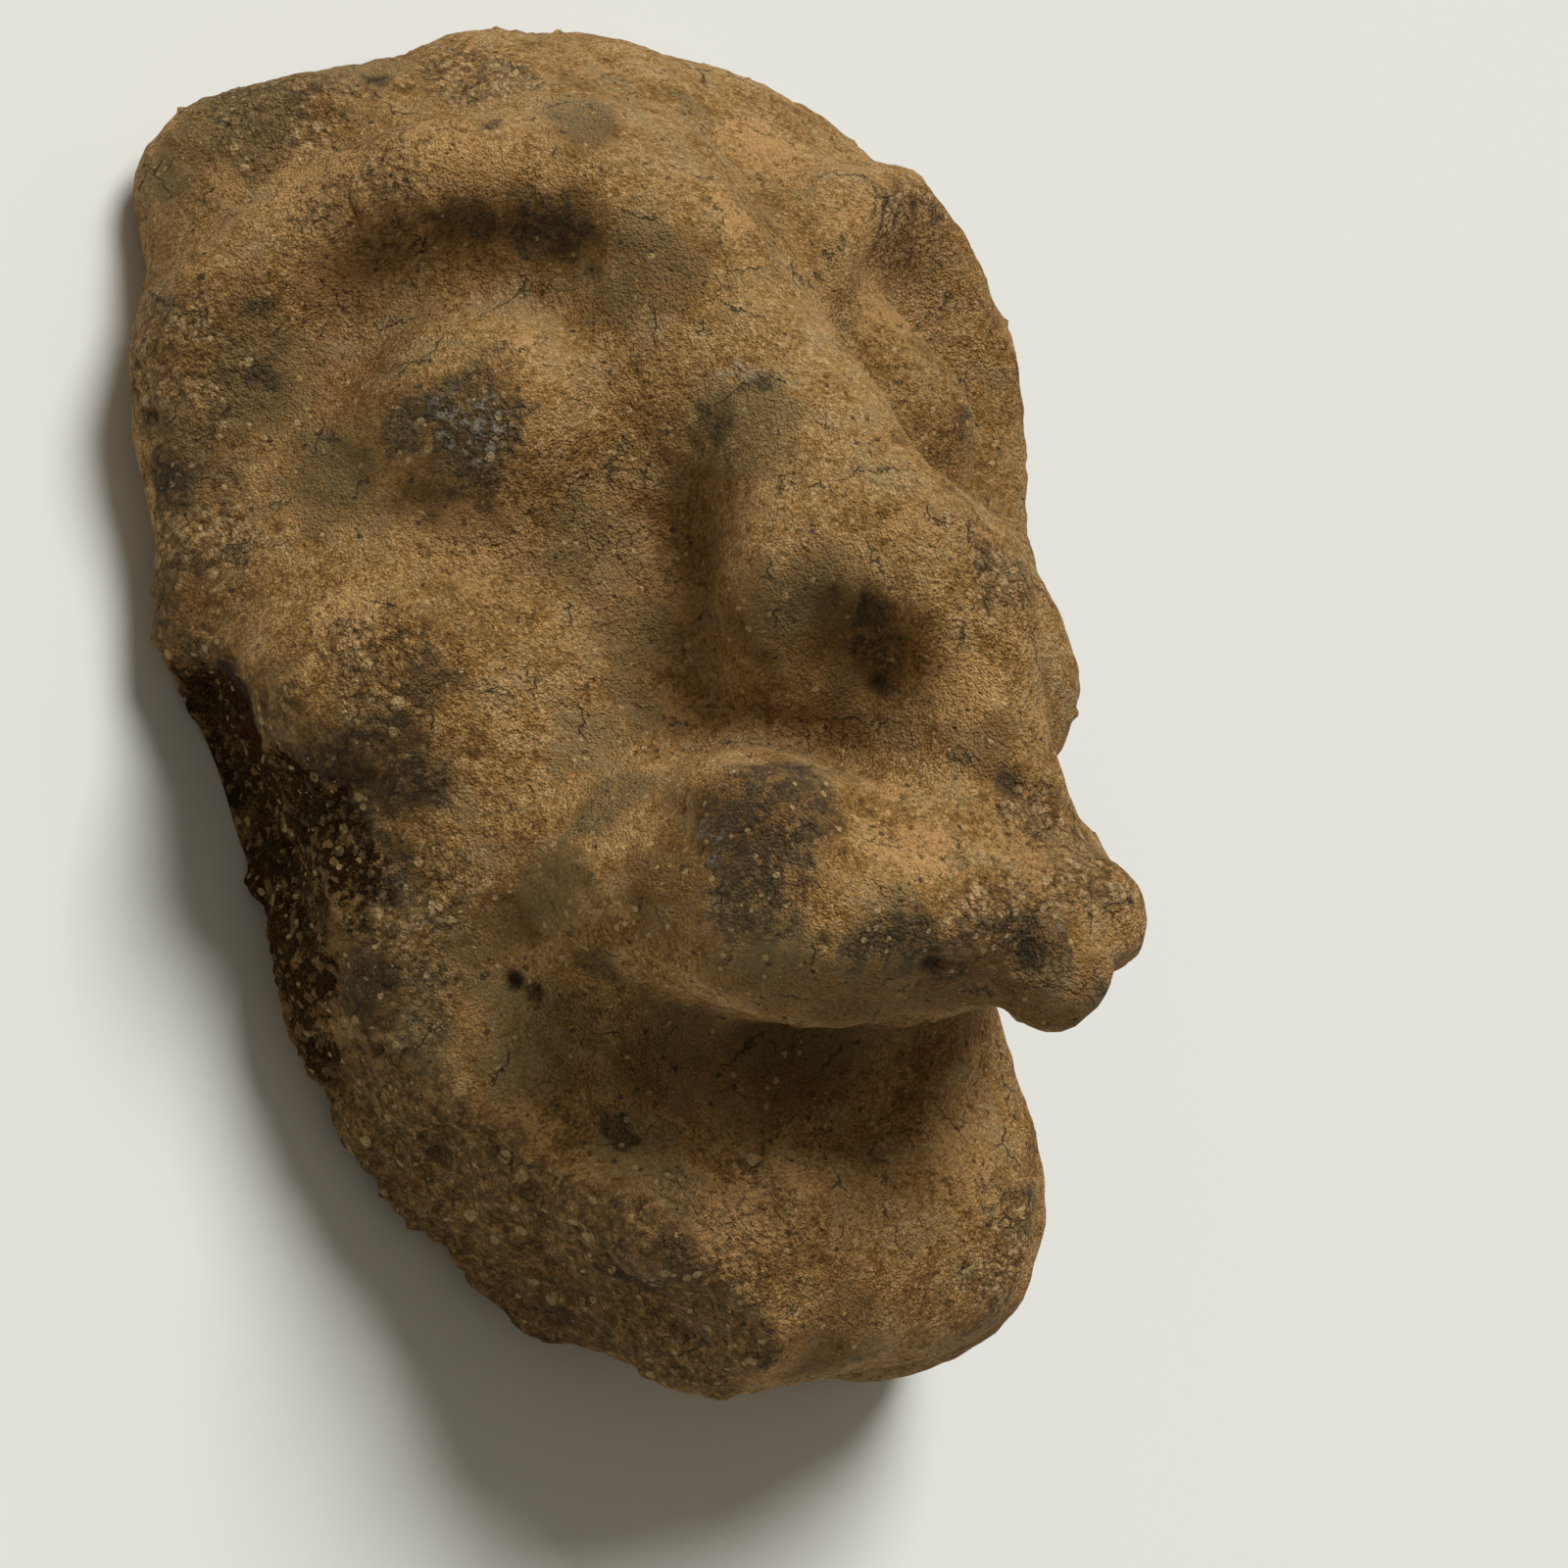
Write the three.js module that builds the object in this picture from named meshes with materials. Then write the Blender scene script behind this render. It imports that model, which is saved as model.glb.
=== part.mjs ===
import * as THREE from 'three';

// Hand-modelled fired clay head: one thick slab with a face in high relief and a flat back.
// Sizes are in millimetres. X is the viewer's right, Y is towards the crown, Z is out of the face.
// Z = 0 is the flat back. The left and right of the names below are the viewer's.

// Outline of the slab
const MIDDLE = [2, 0];
// Half sizes from the middle, one every 22.5 degrees, from the right ear upwards and round
const RIM = [46, 55, 65, 67.7, 68.5, 64.5, 60.5, 50.3, 51, 46.5, 53, 60.5, 62.5, 70, 41, 40];
// Height of the widest outline above the back
const WIDEST = 8;
// From the widest outline up to the plain face, and down to where the back edge would close
const FACE_RISE = 28;
const BACK_EDGE = 13;
// Squareness of the flanks, where 2 is a plain ellipse
const FLANK_POWER = 2.4;

// Slow unevenness left by the hand: height, wave length, direction of the wave, start in degrees
const HAND_WAVES = [
  { height: 0.45, length: 37, along: [0.8, 0.6, 0.2], start: 40 },
  { height: 0.40, length: 26, along: [-0.5, 0.8, 0.5], start: 115 },
  { height: 0.30, length: 17, along: [0.3, -0.4, 0.9], start: 250 },
  { height: 0.22, length: 12, along: [0.9, -0.5, -0.3], start: 10 },
];

// Steps of the surface grid along one side
const GRID = 68;
// Point behind the face that the rays to the surface leave from, and the way to the grid's middle
const HEART = [2, 10, -4];
const POLE = [0.06, -0.5, 0.86];
// Search along a ray: farthest reach, first strides and the halvings after them
const REACH = 100;
const STRIDE = 0.8;
const HALVINGS = 14;
// Sample lines that set how the grid's rings are spread: lines, steps along one and widest angle
const LINES = 96;
const LINE_STEPS = 110;
const WIDEST_ANGLE = 2.75;
// Times the sample lines are softened by their neighbours
const LINE_SOFTENING = 3;
// Share of even spacing along the surface, the rest being even spacing of angle
const EVENNESS = 0.8;
const RINGS = 80;
// Rounds that smooth the grid: first with neighbours some cells away, then with the nearest ones
const WIDE_ROUNDS = 3;
const WIDE_CELLS = 2;
const FINE_ROUNDS = 8;
// Share of the way that each point moves in a round, and the step over which a slope is taken
const EASE = 0.5;
const SLOPE_STEP = 0.05;

// Keeps a length of nothing from being divided by
const TINY = 1e-9;

// A bump's egg: how deep it is for one of height, and the width of its cut at the foot
const BUMP_DEPTH = 1.6;
const BUMP_FOOT = 0.927;
// A dent's egg: how far out its centre lies for one of depth, and the width of its cut at the mouth
const DENT_OUT = 2.5;
const DENT_MOUTH = 0.7;

// Centre of the finished outline, moved to the origin
const ORIGIN = [3.86, 0.34];

// Soft minimum and maximum over a blend width
function softMin(a, b, blend) {
  const h = Math.max(blend - Math.abs(a - b), 0) / blend;
  return Math.min(a, b) - h * h * h * blend / 6;
}

function softMax(a, b, blend) {
  return -softMin(-a, -b, blend);
}

function unit(v) {
  const length = Math.hypot(...v);
  return v.map((c) => c / length);
}

function dot(a, b) {
  return a[0] * b[0] + a[1] * b[1] + a[2] * b[2];
}

function cross(a, b) {
  return [
    a[1] * b[2] - a[2] * b[1],
    a[2] * b[0] - a[0] * b[2],
    a[0] * b[1] - a[1] * b[0],
  ];
}

// Signed distance of a rounded lump whose third axis faces out of the clay
function egg({ centre, radii, facing = [0, 0, 1], power = 2 }) {
  const out = unit(facing);
  const side = unit(cross([0, 1, 0], out));
  const up = cross(out, side);
  return (p) => {
    const d = [p[0] - centre[0], p[1] - centre[1], p[2] - centre[2]];
    const reach = Math.hypot(...d) + TINY;
    const sum = Math.abs(dot(d, side) / radii[0]) ** power
      + Math.abs(dot(d, up) / radii[1]) ** power
      + Math.abs(dot(d, out) / radii[2]) ** power;
    const gauge = sum ** (1 / power) + TINY;
    return (gauge - 1) * reach / gauge;
  };
}

// A bump given by its highest point, the half sizes of its foot and its height
function bump({ top, facing, foot, height }) {
  const out = unit(facing);
  const depth = BUMP_DEPTH * height;
  const centre = top.map((c, axis) => c - out[axis] * depth);
  return egg({ centre, facing, radii: [foot[0] / BUMP_FOOT, foot[1] / BUMP_FOOT, depth] });
}

// A dent given by the middle of its mouth, the half sizes of the mouth and its depth
function dent({ mouth, facing, size, depth }) {
  const out = unit(facing);
  const centre = mouth.map((c, axis) => c + out[axis] * DENT_OUT * depth);
  const radii = [size[0] / DENT_MOUTH, size[1] / DENT_MOUTH, (DENT_OUT + 1) * depth];
  return egg({ centre, facing, radii });
}

// A roll of clay along points that also carry its radius
function roll(points) {
  return (p) => {
    let best = Infinity;
    for (let i = 1; i < points.length; i += 1) {
      const a = points[i - 1];
      const b = points[i];
      const ab = [b[0] - a[0], b[1] - a[1], b[2] - a[2]];
      const ap = [p[0] - a[0], p[1] - a[1], p[2] - a[2]];
      const t = Math.min(Math.max(dot(ap, ab) / dot(ab, ab), 0), 1);
      const gap = Math.hypot(ap[0] - t * ab[0], ap[1] - t * ab[1], ap[2] - t * ab[2]);
      best = Math.min(best, gap - a[3] - t * (b[3] - a[3]));
    }
    return best;
  };
}

// A brow: a roll on an arc round the socket, from its outer foot to its inner head
function brow({ centre, radii, from, to, foot, head, thick, steps = 12 }) {
  const points = [];
  for (let i = 0; i <= steps; i += 1) {
    const t = i / steps;
    const angle = THREE.MathUtils.degToRad(from + t * (to - from));
    points.push([
      centre[0] + radii[0] * Math.cos(angle),
      centre[1] + radii[1] * Math.sin(angle),
      foot + (head - foot) * Math.sin(t * Math.PI / 2),
      thick[0] + t * (thick[1] - thick[0]),
    ]);
  }
  return roll(points);
}

// Everything on the outer side of a plane through a point is taken away
function slice({ through, facing }) {
  const out = unit(facing);
  const level = dot(through, out);
  return (p) => level - dot(p, out);
}

// Forms of the head, worked in this order
const FORMS = [
  {
    name: 'upper left corner',
    blend: 9,
    add: egg({ centre: [-29.5, 51, 10], radii: [12.5, 11.5, 13] }),
  },
  {
    name: 'left flank',
    blend: 12,
    cut: slice({ through: [-40, 28, 14], facing: [-0.60, 0.12, 0.78] }),
  },
  {
    name: 'left brow',
    blend: 11,
    add: brow({
      centre: [-22, 27],
      radii: [19, 19.5],
      from: 160,
      to: 30,
      foot: 9,
      head: 31.5,
      thick: [3.5, 5.5],
    }),
  },
  {
    name: 'right brow',
    blend: 10,
    add: brow({
      centre: [29, 27.5],
      radii: [14.5, 16.5],
      from: 20,
      to: 145,
      foot: 18,
      head: 31,
      thick: [4, 5.5],
    }),
  },
  {
    name: 'left socket',
    blend: 8,
    cut: dent({ mouth: [-22, 28, 31], facing: [-0.5, 0, 0.86], size: [15.5, 14], depth: 8 }),
  },
  {
    name: 'right socket',
    blend: 8,
    cut: dent({ mouth: [30, 27, 30], facing: [0.5, 0, 0.86], size: [13, 14], depth: 6.5 }),
  },
  {
    name: 'left eye',
    blend: 9,
    add: bump({ top: [-22.5, 24, 36.5], facing: [-0.25, 0.05, 0.95], foot: [11.5, 11], height: 8 }),
  },
  {
    name: 'right eye',
    blend: 9,
    add: bump({ top: [28, 25, 36.5], facing: [0.3, 0.1, 0.95], foot: [10.5, 11], height: 8 }),
  },
  {
    name: 'nose ridge',
    blend: 14,
    add: roll([[-1, 44, 28, 10], [1.5, 24, 36, 10], [5, 8, 42, 9.5]]),
  },
  {
    name: 'left cheek',
    blend: 12,
    add: egg({ centre: [-29, 0, 20], radii: [16, 10, 10] }),
  },
  {
    name: 'right cheek',
    blend: 10,
    add: egg({ centre: [36, -1, 21], radii: [10, 11, 12] }),
  },
  {
    name: 'muzzle',
    blend: 12,
    add: egg({ centre: [1, -20, 31], radii: [28, 12, 31], facing: [0, -0.38, 0.925], power: 2.3 }),
  },
  {
    name: 'nose ball',
    blend: 14,
    add: egg({ centre: [4, 1.5, 46], radii: [15, 11, 11] }),
  },
  {
    name: 'nose foot',
    blend: 12,
    add: roll([[9, -3, 49, 6], [10, -18, 50, 7]]),
  },
  {
    name: 'left lip lobe',
    blend: 6,
    add: egg({ centre: [-13.5, -18.5, 46.5], radii: [8, 7.5, 7] }),
  },
  {
    name: 'chin',
    blend: 16,
    add: egg({ centre: [-1.5, -52.8, 24], radii: [25.5, 13, 12], power: 2.6 }),
  },
  {
    name: 'nostril',
    blend: 5,
    cut: dent({ mouth: [-4.5, -5, 50], facing: [-0.45, -0.5, 0.7], size: [6, 4.5], depth: 1.2 }),
  },
  {
    name: 'right waist',
    blend: 10,
    cut: egg({ centre: [47, -34, 24], radii: [14, 9, 18] }),
  },
  {
    name: 'mouth hollow',
    blend: 9,
    cut: egg({ centre: [0, -44, 56], radii: [38, 8, 22] }),
  },
  {
    name: 'lip front',
    blend: 7,
    add: roll([[-12, -29.5, 45, 4], [2, -31.5, 52.5, 5], [14, -31, 56, 5.5]]),
  },
  {
    name: 'hanging lobe',
    blend: 5,
    add: egg({ centre: [8, -35.2, 57], radii: [6, 4.5, 4.5] }),
  },
  {
    name: 'broken side',
    blend: 3,
    cut: slice({ through: [-44, -10, 12], facing: [-0.97, -0.22, 0.08] }),
  },
  {
    name: 'hollow of the break',
    blend: 3,
    cut: egg({ centre: [-54, -11.5, 3], radii: [16.5, 24.5, 24] }),
  },
  {
    name: 'broken jaw',
    blend: 4,
    cut: slice({ through: [-29, -42.8, 10], facing: [-0.80, -0.60, 0] }),
  },
];

// Radius of the rim at an angle, a smooth curve through the rim sizes
function rimAt(angle) {
  const turns = ((angle / (2 * Math.PI)) % 1 + 1) % 1;
  const place = turns * RIM.length;
  const i = Math.floor(place);
  const t = place - i;
  const [a, b, c, d] = [-1, 0, 1, 2].map((k) => RIM[(i + k + RIM.length) % RIM.length]);
  const slope = c - a;
  const bend = 2 * a - 5 * b + 4 * c - d;
  const twist = 3 * b - a - 3 * c + d;
  return 0.5 * (2 * b + slope * t + bend * t * t + twist * t ** 3);
}

// The plain slab with rounded flanks, before any form is worked into it
function slab(p) {
  const x = p[0] - MIDDLE[0];
  const y = p[1] - MIDDLE[1];
  const z = p[2] - WIDEST;
  const across = Math.hypot(x, y);
  const outline = across / rimAt(Math.atan2(y, x));
  const rise = Math.abs(z) / (z > 0 ? FACE_RISE : BACK_EDGE);
  const sum = outline ** FLANK_POWER + rise ** FLANK_POWER;
  const gauge = sum ** (1 / FLANK_POWER) + TINY;
  return (gauge - 1) * Math.hypot(across, z) / gauge;
}

function handWaves(p) {
  let sum = 0;
  for (const wave of HAND_WAVES) {
    const phase = 2 * Math.PI * dot(p, unit(wave.along)) / wave.length;
    sum += wave.height * Math.sin(phase + THREE.MathUtils.degToRad(wave.start));
  }
  return sum;
}

// Signed distance to the worked clay, below zero inside
function clay(p) {
  let d = slab(p);
  for (const form of FORMS) {
    d = form.add ? softMin(d, form.add(p), form.blend) : softMax(d, -form.cut(p), form.blend);
  }
  return d + handWaves(p);
}

// Direction at an angle round the pole and an angle away from it
const POLE_WAY = unit(POLE);
const POLE_SIDE = unit(cross([0, 1, 0], POLE_WAY));
const POLE_UP = cross(POLE_WAY, POLE_SIDE);

function wayAt(round, away) {
  const side = Math.cos(round) * Math.sin(away);
  const up = Math.sin(round) * Math.sin(away);
  const out = Math.cos(away);
  return POLE_WAY.map((c, axis) => c * out + POLE_SIDE[axis] * side + POLE_UP[axis] * up);
}

// Outermost point of the clay on a ray from the heart, found in strides and then by halving
function surfaceAt(round, away) {
  const way = wayAt(round, away);
  const at = (t) => HEART.map((c, axis) => c + t * way[axis]);
  let t = REACH;
  while (t > STRIDE && clay(at(t)) > 0) {
    t -= STRIDE;
  }
  let inside = t;
  let outside = t + STRIDE;
  for (let i = 0; i < HALVINGS; i += 1) {
    const half = (inside + outside) / 2;
    if (clay(at(half)) > 0) {
      outside = half;
    } else {
      inside = half;
    }
  }
  return at(inside);
}

function gapBetween(a, b) {
  return Math.hypot(a[0] - b[0], a[1] - b[1], a[2] - b[2]);
}

// Value at a place in a rising list, read off a second list
function lookUp(rising, values, place) {
  let i = 1;
  while (i < rising.length - 1 && rising[i] < place) {
    i += 1;
  }
  const t = (place - rising[i - 1]) / (rising[i] - rising[i - 1]);
  return values[i - 1] + Math.min(Math.max(t, 0), 1) * (values[i] - values[i - 1]);
}

// For every sample line, the angle away from the pole that each ring of the grid is given
function spreadRings() {
  const lines = [];
  for (let line = 0; line < LINES; line += 1) {
    const round = 2 * Math.PI * line / LINES;
    const aways = [0];
    const lengths = [0];
    let last = surfaceAt(round, 0);
    for (let step = 1; step < LINE_STEPS; step += 1) {
      const away = WIDEST_ANGLE * step / (LINE_STEPS - 1);
      const next = surfaceAt(round, away);
      const share = next[2] < 0 ? last[2] / (last[2] - next[2]) : 1;
      aways.push(aways[step - 1] + share * (away - aways[step - 1]));
      lengths.push(lengths[step - 1] + share * gapBetween(last, next));
      last = next;
      if (share < 1) {
        break;
      }
    }
    const farthest = aways[aways.length - 1];
    const longest = lengths[lengths.length - 1];
    const places = aways.map((away, k) => (
      EVENNESS * lengths[k] / longest + (1 - EVENNESS) * away / farthest));
    const spread = [];
    for (let ring = 0; ring <= RINGS; ring += 1) {
      spread.push(lookUp(places, aways, ring / RINGS));
    }
    lines.push(spread);
  }
  return lines;
}

// The same angles with each line softened by the lines beside it
function softenLines(lines, times) {
  let soft = lines;
  for (let turn = 0; turn < times; turn += 1) {
    soft = soft.map((spread, line) => {
      const before = soft[(line + LINES - 1) % LINES];
      const after = soft[(line + 1) % LINES];
      return spread.map((away, k) => 0.5 * away + 0.25 * (before[k] + after[k]));
    });
  }
  return soft;
}

const SPREAD = softenLines(spreadRings(), LINE_SOFTENING);

// Angle away from the pole for a ring between 0 and 1, read between sample lines
function awayAt(ring, round) {
  const place = ((round / (2 * Math.PI)) % 1 + 1) % 1 * LINES;
  const line = Math.floor(place) % LINES;
  const next = (line + 1) % LINES;
  const k = Math.min(Math.floor(ring * RINGS), RINGS - 1);
  const across = place - Math.floor(place);
  const along = ring * RINGS - k;
  const near = SPREAD[line][k] * (1 - across) + SPREAD[next][k] * across;
  const far = SPREAD[line][k + 1] * (1 - across) + SPREAD[next][k + 1] * across;
  return near * (1 - along) + far * along;
}

// Point where the surface meets the flat back
function rimPoint(round) {
  let near = 0.8 * awayAt(1, round);
  let far = WIDEST_ANGLE;
  for (let i = 0; i < 2 * HALVINGS; i += 1) {
    const half = (near + far) / 2;
    if (surfaceAt(round, half)[2] > 0) {
      near = half;
    } else {
      far = half;
    }
  }
  const point = surfaceAt(round, near);
  return [point[0], point[1], 0];
}

// Angle round a square grid, so that rings of the square become rings of a disc
function roundAt(s, t) {
  if (Math.abs(s) >= Math.abs(t)) {
    return s === 0 ? 0 : Math.PI / 4 * t / s + (s < 0 ? Math.PI : 0);
  }
  return (t > 0 ? 1 : -1) * Math.PI / 2 - Math.PI / 4 * s / t;
}

// Point of the clay's surface nearest to a point close to it
function settle(point) {
  const here = clay(point);
  const slope = point.map((c, axis) => {
    const beside = [...point];
    beside[axis] += SLOPE_STEP;
    return (clay(beside) - here) / SLOPE_STEP;
  });
  const scale = here / dot(slope, slope);
  return point.map((c, axis) => c - slope[axis] * scale);
}

// Grid of surface points, smoothed by drawing each point towards the middle of its neighbours
function surfaceGrid() {
  const row = GRID + 1;
  let points = [];
  for (let j = 0; j < row; j += 1) {
    for (let i = 0; i < row; i += 1) {
      const s = 2 * i / GRID - 1;
      const t = 2 * j / GRID - 1;
      const ring = Math.max(Math.abs(s), Math.abs(t));
      const round = roundAt(s, t);
      points.push(ring === 1 ? rimPoint(round) : surfaceAt(round, awayAt(ring, round)));
    }
  }
  const smooth = (cells) => points.map((p, k) => {
    const i = k % row;
    const j = Math.floor(k / row);
    const step = Math.min(cells, i, j, GRID - i, GRID - j);
    if (step === 0) {
      return p;
    }
    const beside = [k - step, k + step, k - step * row, k + step * row].map((n) => points[n]);
    const moved = p.map((c, axis) => {
      const middle = beside.reduce((sum, other) => sum + other[axis] / 4, 0);
      return c + EASE * (middle - c);
    });
    return cells > 1 ? settle(settle(moved)) : settle(moved);
  });
  for (let turn = 0; turn < WIDE_ROUNDS; turn += 1) {
    points = smooth(WIDE_CELLS);
  }
  for (let turn = 0; turn < FINE_ROUNDS; turn += 1) {
    points = smooth(1);
  }
  return points;
}

// How far the middle of a straight edge is from the surface
function missOfMiddle(a, b) {
  return Math.abs(clay(a.map((c, axis) => (c + b[axis]) / 2)));
}

// Closed body: the grid over the face and flanks, and a fan of faces over the flat back
function headGeometry() {
  const row = GRID + 1;
  const points = surfaceGrid();
  const index = [];
  for (let j = 0; j < GRID; j += 1) {
    for (let i = 0; i < GRID; i += 1) {
      const a = j * row + i;
      const [b, c, d] = [a + 1, a + row + 1, a + row];
      if (missOfMiddle(points[a], points[c]) < missOfMiddle(points[b], points[d])) {
        index.push(a, b, c, a, c, d);
      } else {
        index.push(a, b, d, b, c, d);
      }
    }
  }
  const rim = [];
  for (let k = 0; k < GRID; k += 1) rim.push(k);
  for (let k = 0; k < GRID; k += 1) rim.push(k * row + GRID);
  for (let k = GRID; k > 0; k -= 1) rim.push(GRID * row + k);
  for (let k = GRID; k > 0; k -= 1) rim.push(k * row);
  const hub = points.length;
  points.push([...MIDDLE, 0]);
  rim.forEach((vertex, k) => index.push(rim[(k + 1) % rim.length], vertex, hub));

  const geometry = new THREE.BufferGeometry();
  const flat = points.flatMap((p) => [p[0] - ORIGIN[0], p[1] - ORIGIN[1], p[2]]);
  geometry.setAttribute('position', new THREE.Float32BufferAttribute(flat, 3));
  geometry.setIndex(index);
  geometry.computeVertexNormals();
  return geometry;
}

const firedClay = new THREE.MeshStandardMaterial({ color: 0x7d5f3d, roughness: 0.95, metalness: 0 });
firedClay.name = 'fired_clay';

const clayHead = new THREE.Mesh(headGeometry(), firedClay);
clayHead.name = 'clay_head';

const part = new THREE.Group();
part.name = 'clay_head_sculpture';
part.add(clayHead);

export default part;
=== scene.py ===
"""Fired clay head, modelled by hand: one thick slab with a face in high relief and a flat back.

It lies on its back on a pale floor. Lengths are in millimetres until a mesh is made, where they
become metres. X is the viewer's right, Y is towards the crown and Z is out of the face. The left
and right of the names below are the viewer's.
"""
import logging
import math
from dataclasses import dataclass, field
from enum import Enum
from typing import Union

import bpy
import numpy as np
from mathutils import Matrix, Vector


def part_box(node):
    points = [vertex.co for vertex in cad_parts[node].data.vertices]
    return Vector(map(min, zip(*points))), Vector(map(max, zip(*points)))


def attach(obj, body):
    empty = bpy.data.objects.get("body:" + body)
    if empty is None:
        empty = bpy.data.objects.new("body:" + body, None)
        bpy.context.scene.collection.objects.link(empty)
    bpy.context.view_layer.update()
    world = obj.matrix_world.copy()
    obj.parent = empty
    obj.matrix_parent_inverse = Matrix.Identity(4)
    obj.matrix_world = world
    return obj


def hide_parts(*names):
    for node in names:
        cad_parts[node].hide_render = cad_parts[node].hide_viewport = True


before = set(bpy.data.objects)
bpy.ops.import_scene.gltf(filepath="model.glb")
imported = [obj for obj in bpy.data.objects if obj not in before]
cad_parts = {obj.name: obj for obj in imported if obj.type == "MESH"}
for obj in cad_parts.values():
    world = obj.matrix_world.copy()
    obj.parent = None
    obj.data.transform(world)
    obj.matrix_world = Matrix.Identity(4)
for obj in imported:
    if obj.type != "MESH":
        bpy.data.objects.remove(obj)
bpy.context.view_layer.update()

Array = np.ndarray
Triple = tuple[float, float, float]
Colour = tuple[float, float, float]

LOG = logging.getLogger("clay_head")
METRES = 0.001
TINY = 1e-9
NODE = "clay_head"
ORIGIN = (3.86, 0.34)  # where the frame's X = Y = 0 lies among the lengths below
LEVELS = 65536  # how many different numbers scramble gives
CORNERS = np.array([(i, j, k) for i in (0, 1) for j in (0, 1) for k in (0, 1)])
AROUND = np.array([(i, j, k) for i in (-1, 0, 1) for j in (-1, 0, 1) for k in (-1, 0, 1)])


def unit(vector: Triple) -> Array:
    """The vector at length one."""
    found = np.asarray(vector, float)
    return found / np.linalg.norm(found)


def soft_min(first: Array, second: Array, blend: float) -> Array:
    """Smaller of two values, with the corner between them rounded.

    The result is min(a, b) - h^3 * blend / 6, where h is max(blend - |a - b|, 0) / blend.

    Args:
        first: Values.
        second: Values of the same shape.
        blend: Difference over which the corner is rounded.

    Returns:
        The rounded smaller values.
    """
    near = np.maximum(blend - np.abs(first - second), 0) / blend
    return np.minimum(first, second) - near**3 * blend / 6


def ease(start: float, end: float, values: Array) -> Array:
    """Smooth step 3t^2 - 2t^3, where t runs from 0 at the start to 1 at the end.

    Args:
        start: Value that gives 0.
        end: Value that gives 1; it may be the smaller of the two.
        values: Values to be stepped.

    Returns:
        Numbers from 0 to 1.
    """
    share = np.clip((values - start) / (end - start), 0, 1)
    return share * share * (3 - 2 * share)


def scramble(cells: Array, seed: int) -> Array:
    """A repeatable whole number for each whole-number cell of space.

    The three cell numbers are multiplied by large odd numbers and mixed by exclusive or, with
    the upper bits folded onto the lower ones twice.

    Args:
        cells: Whole-number cells, shape (..., 3).
        seed: Choice of pattern.

    Returns:
        Whole numbers from 0 to LEVELS - 1.
    """
    mixed = (cells[..., 0] * 73856093) ^ (cells[..., 1] * 19349663)
    mixed = mixed ^ (cells[..., 2] * 83492791) ^ (seed * 2654435761)
    mixed = ((mixed ^ (mixed >> 13)) * 1274126177) & 0x7FFFFFFF
    return ((mixed ^ (mixed >> 15)) * 40503 >> 4) & (LEVELS - 1)


@dataclass(frozen=True)
class Hills:
    """Smooth random hills in space, all of about one size."""

    size: float
    seed: int
    gain: float = 1.7

    def at(self, points: Array) -> Array:
        """Height of the hills.

        Each corner of a grid of cells has its own slope. A point adds up, over the eight corners
        around it, slope times offset, weighted by the curve 6t^5 - 15t^4 + 10t^3 along each axis.
        The sum is multiplied by the gain.

        Args:
            points: Places, shape (..., 3).

        Returns:
            Heights from about -1 to 1.
        """
        scaled = points / self.size
        base = np.floor(scaled).astype(np.int64)
        part = scaled - base
        fade = part**3 * (part * (part * 6 - 15) + 10)
        total = np.zeros(points.shape[:-1])
        for corner in CORNERS:
            number = scramble(base + corner, self.seed)
            turn = number / LEVELS * 2 * math.pi
            lift = (number * 31 % 1000) / 500 - 1
            flat = np.sqrt(np.maximum(1 - lift * lift, 0))
            offset = part - corner
            rise = (offset[..., 0] * np.cos(turn) + offset[..., 1] * np.sin(turn)) * flat
            rise += offset[..., 2] * lift
            total += np.prod(np.where(corner == 1, fade, 1 - fade), -1) * rise
        return self.gain * total


@dataclass(frozen=True)
class Grains:
    """Round grains scattered through space, at most one in each cell."""

    spacing: float
    radius: float
    share: float
    seed: int

    def at(self, points: Array) -> Array:
        """How far a point is into a grain.

        A cell that holds a grain has it at a random place, with a size between half and all of
        the radius. The result is 1 - (distance / size)^2, at least 0, taken from the grain that
        gives the most among the 27 cells around the point.

        Args:
            points: Places, shape (..., 3).

        Returns:
            Numbers from 0 outside the grains to 1 in their middles.
        """
        scaled = points / self.spacing
        base = np.floor(scaled).astype(np.int64)
        best = np.zeros(points.shape[:-1])
        for step in AROUND:
            cell = base + step
            place = np.stack([scramble(cell, self.seed + k) for k in (1, 2, 3)], -1) / LEVELS
            size = scramble(cell, self.seed + 4) / LEVELS
            here = scramble(cell, self.seed + 5) < self.share * LEVELS
            gap = ((scaled - cell - place) ** 2).sum(-1) * self.spacing**2
            wide = self.radius * (0.5 + 0.5 * size)
            best = np.maximum(best, np.where(here, 1 - gap / wide**2, 0))
        return best


@dataclass(frozen=True)
class Egg:
    """Rounded lump whose third axis faces out of the clay."""

    centre: Triple
    radii: Triple
    facing: Triple = (0, 0, 1)
    power: float = 2.0

    def distance(self, points: Array) -> Array:
        """Signed distance, below zero inside.

        The gauge is the n-th root of the sum of (|offset| / radius)^n along the three axes. The
        distance is (gauge - 1) times the distance from the centre, over the gauge.

        Args:
            points: Places, shape (..., 3).

        Returns:
            Distances of the points.
        """
        out = unit(self.facing)
        side = unit(np.cross((0, 1, 0), out))
        axes = np.stack([side, np.cross(out, side), out], -1)
        offset = points - np.array(self.centre)
        reach = np.sqrt((offset * offset).sum(-1)) + TINY
        parts = np.abs(offset @ axes) / np.array(self.radii)
        gauge = (parts**self.power).sum(-1) ** (1 / self.power) + TINY
        return (gauge - 1) * reach / gauge


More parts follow.
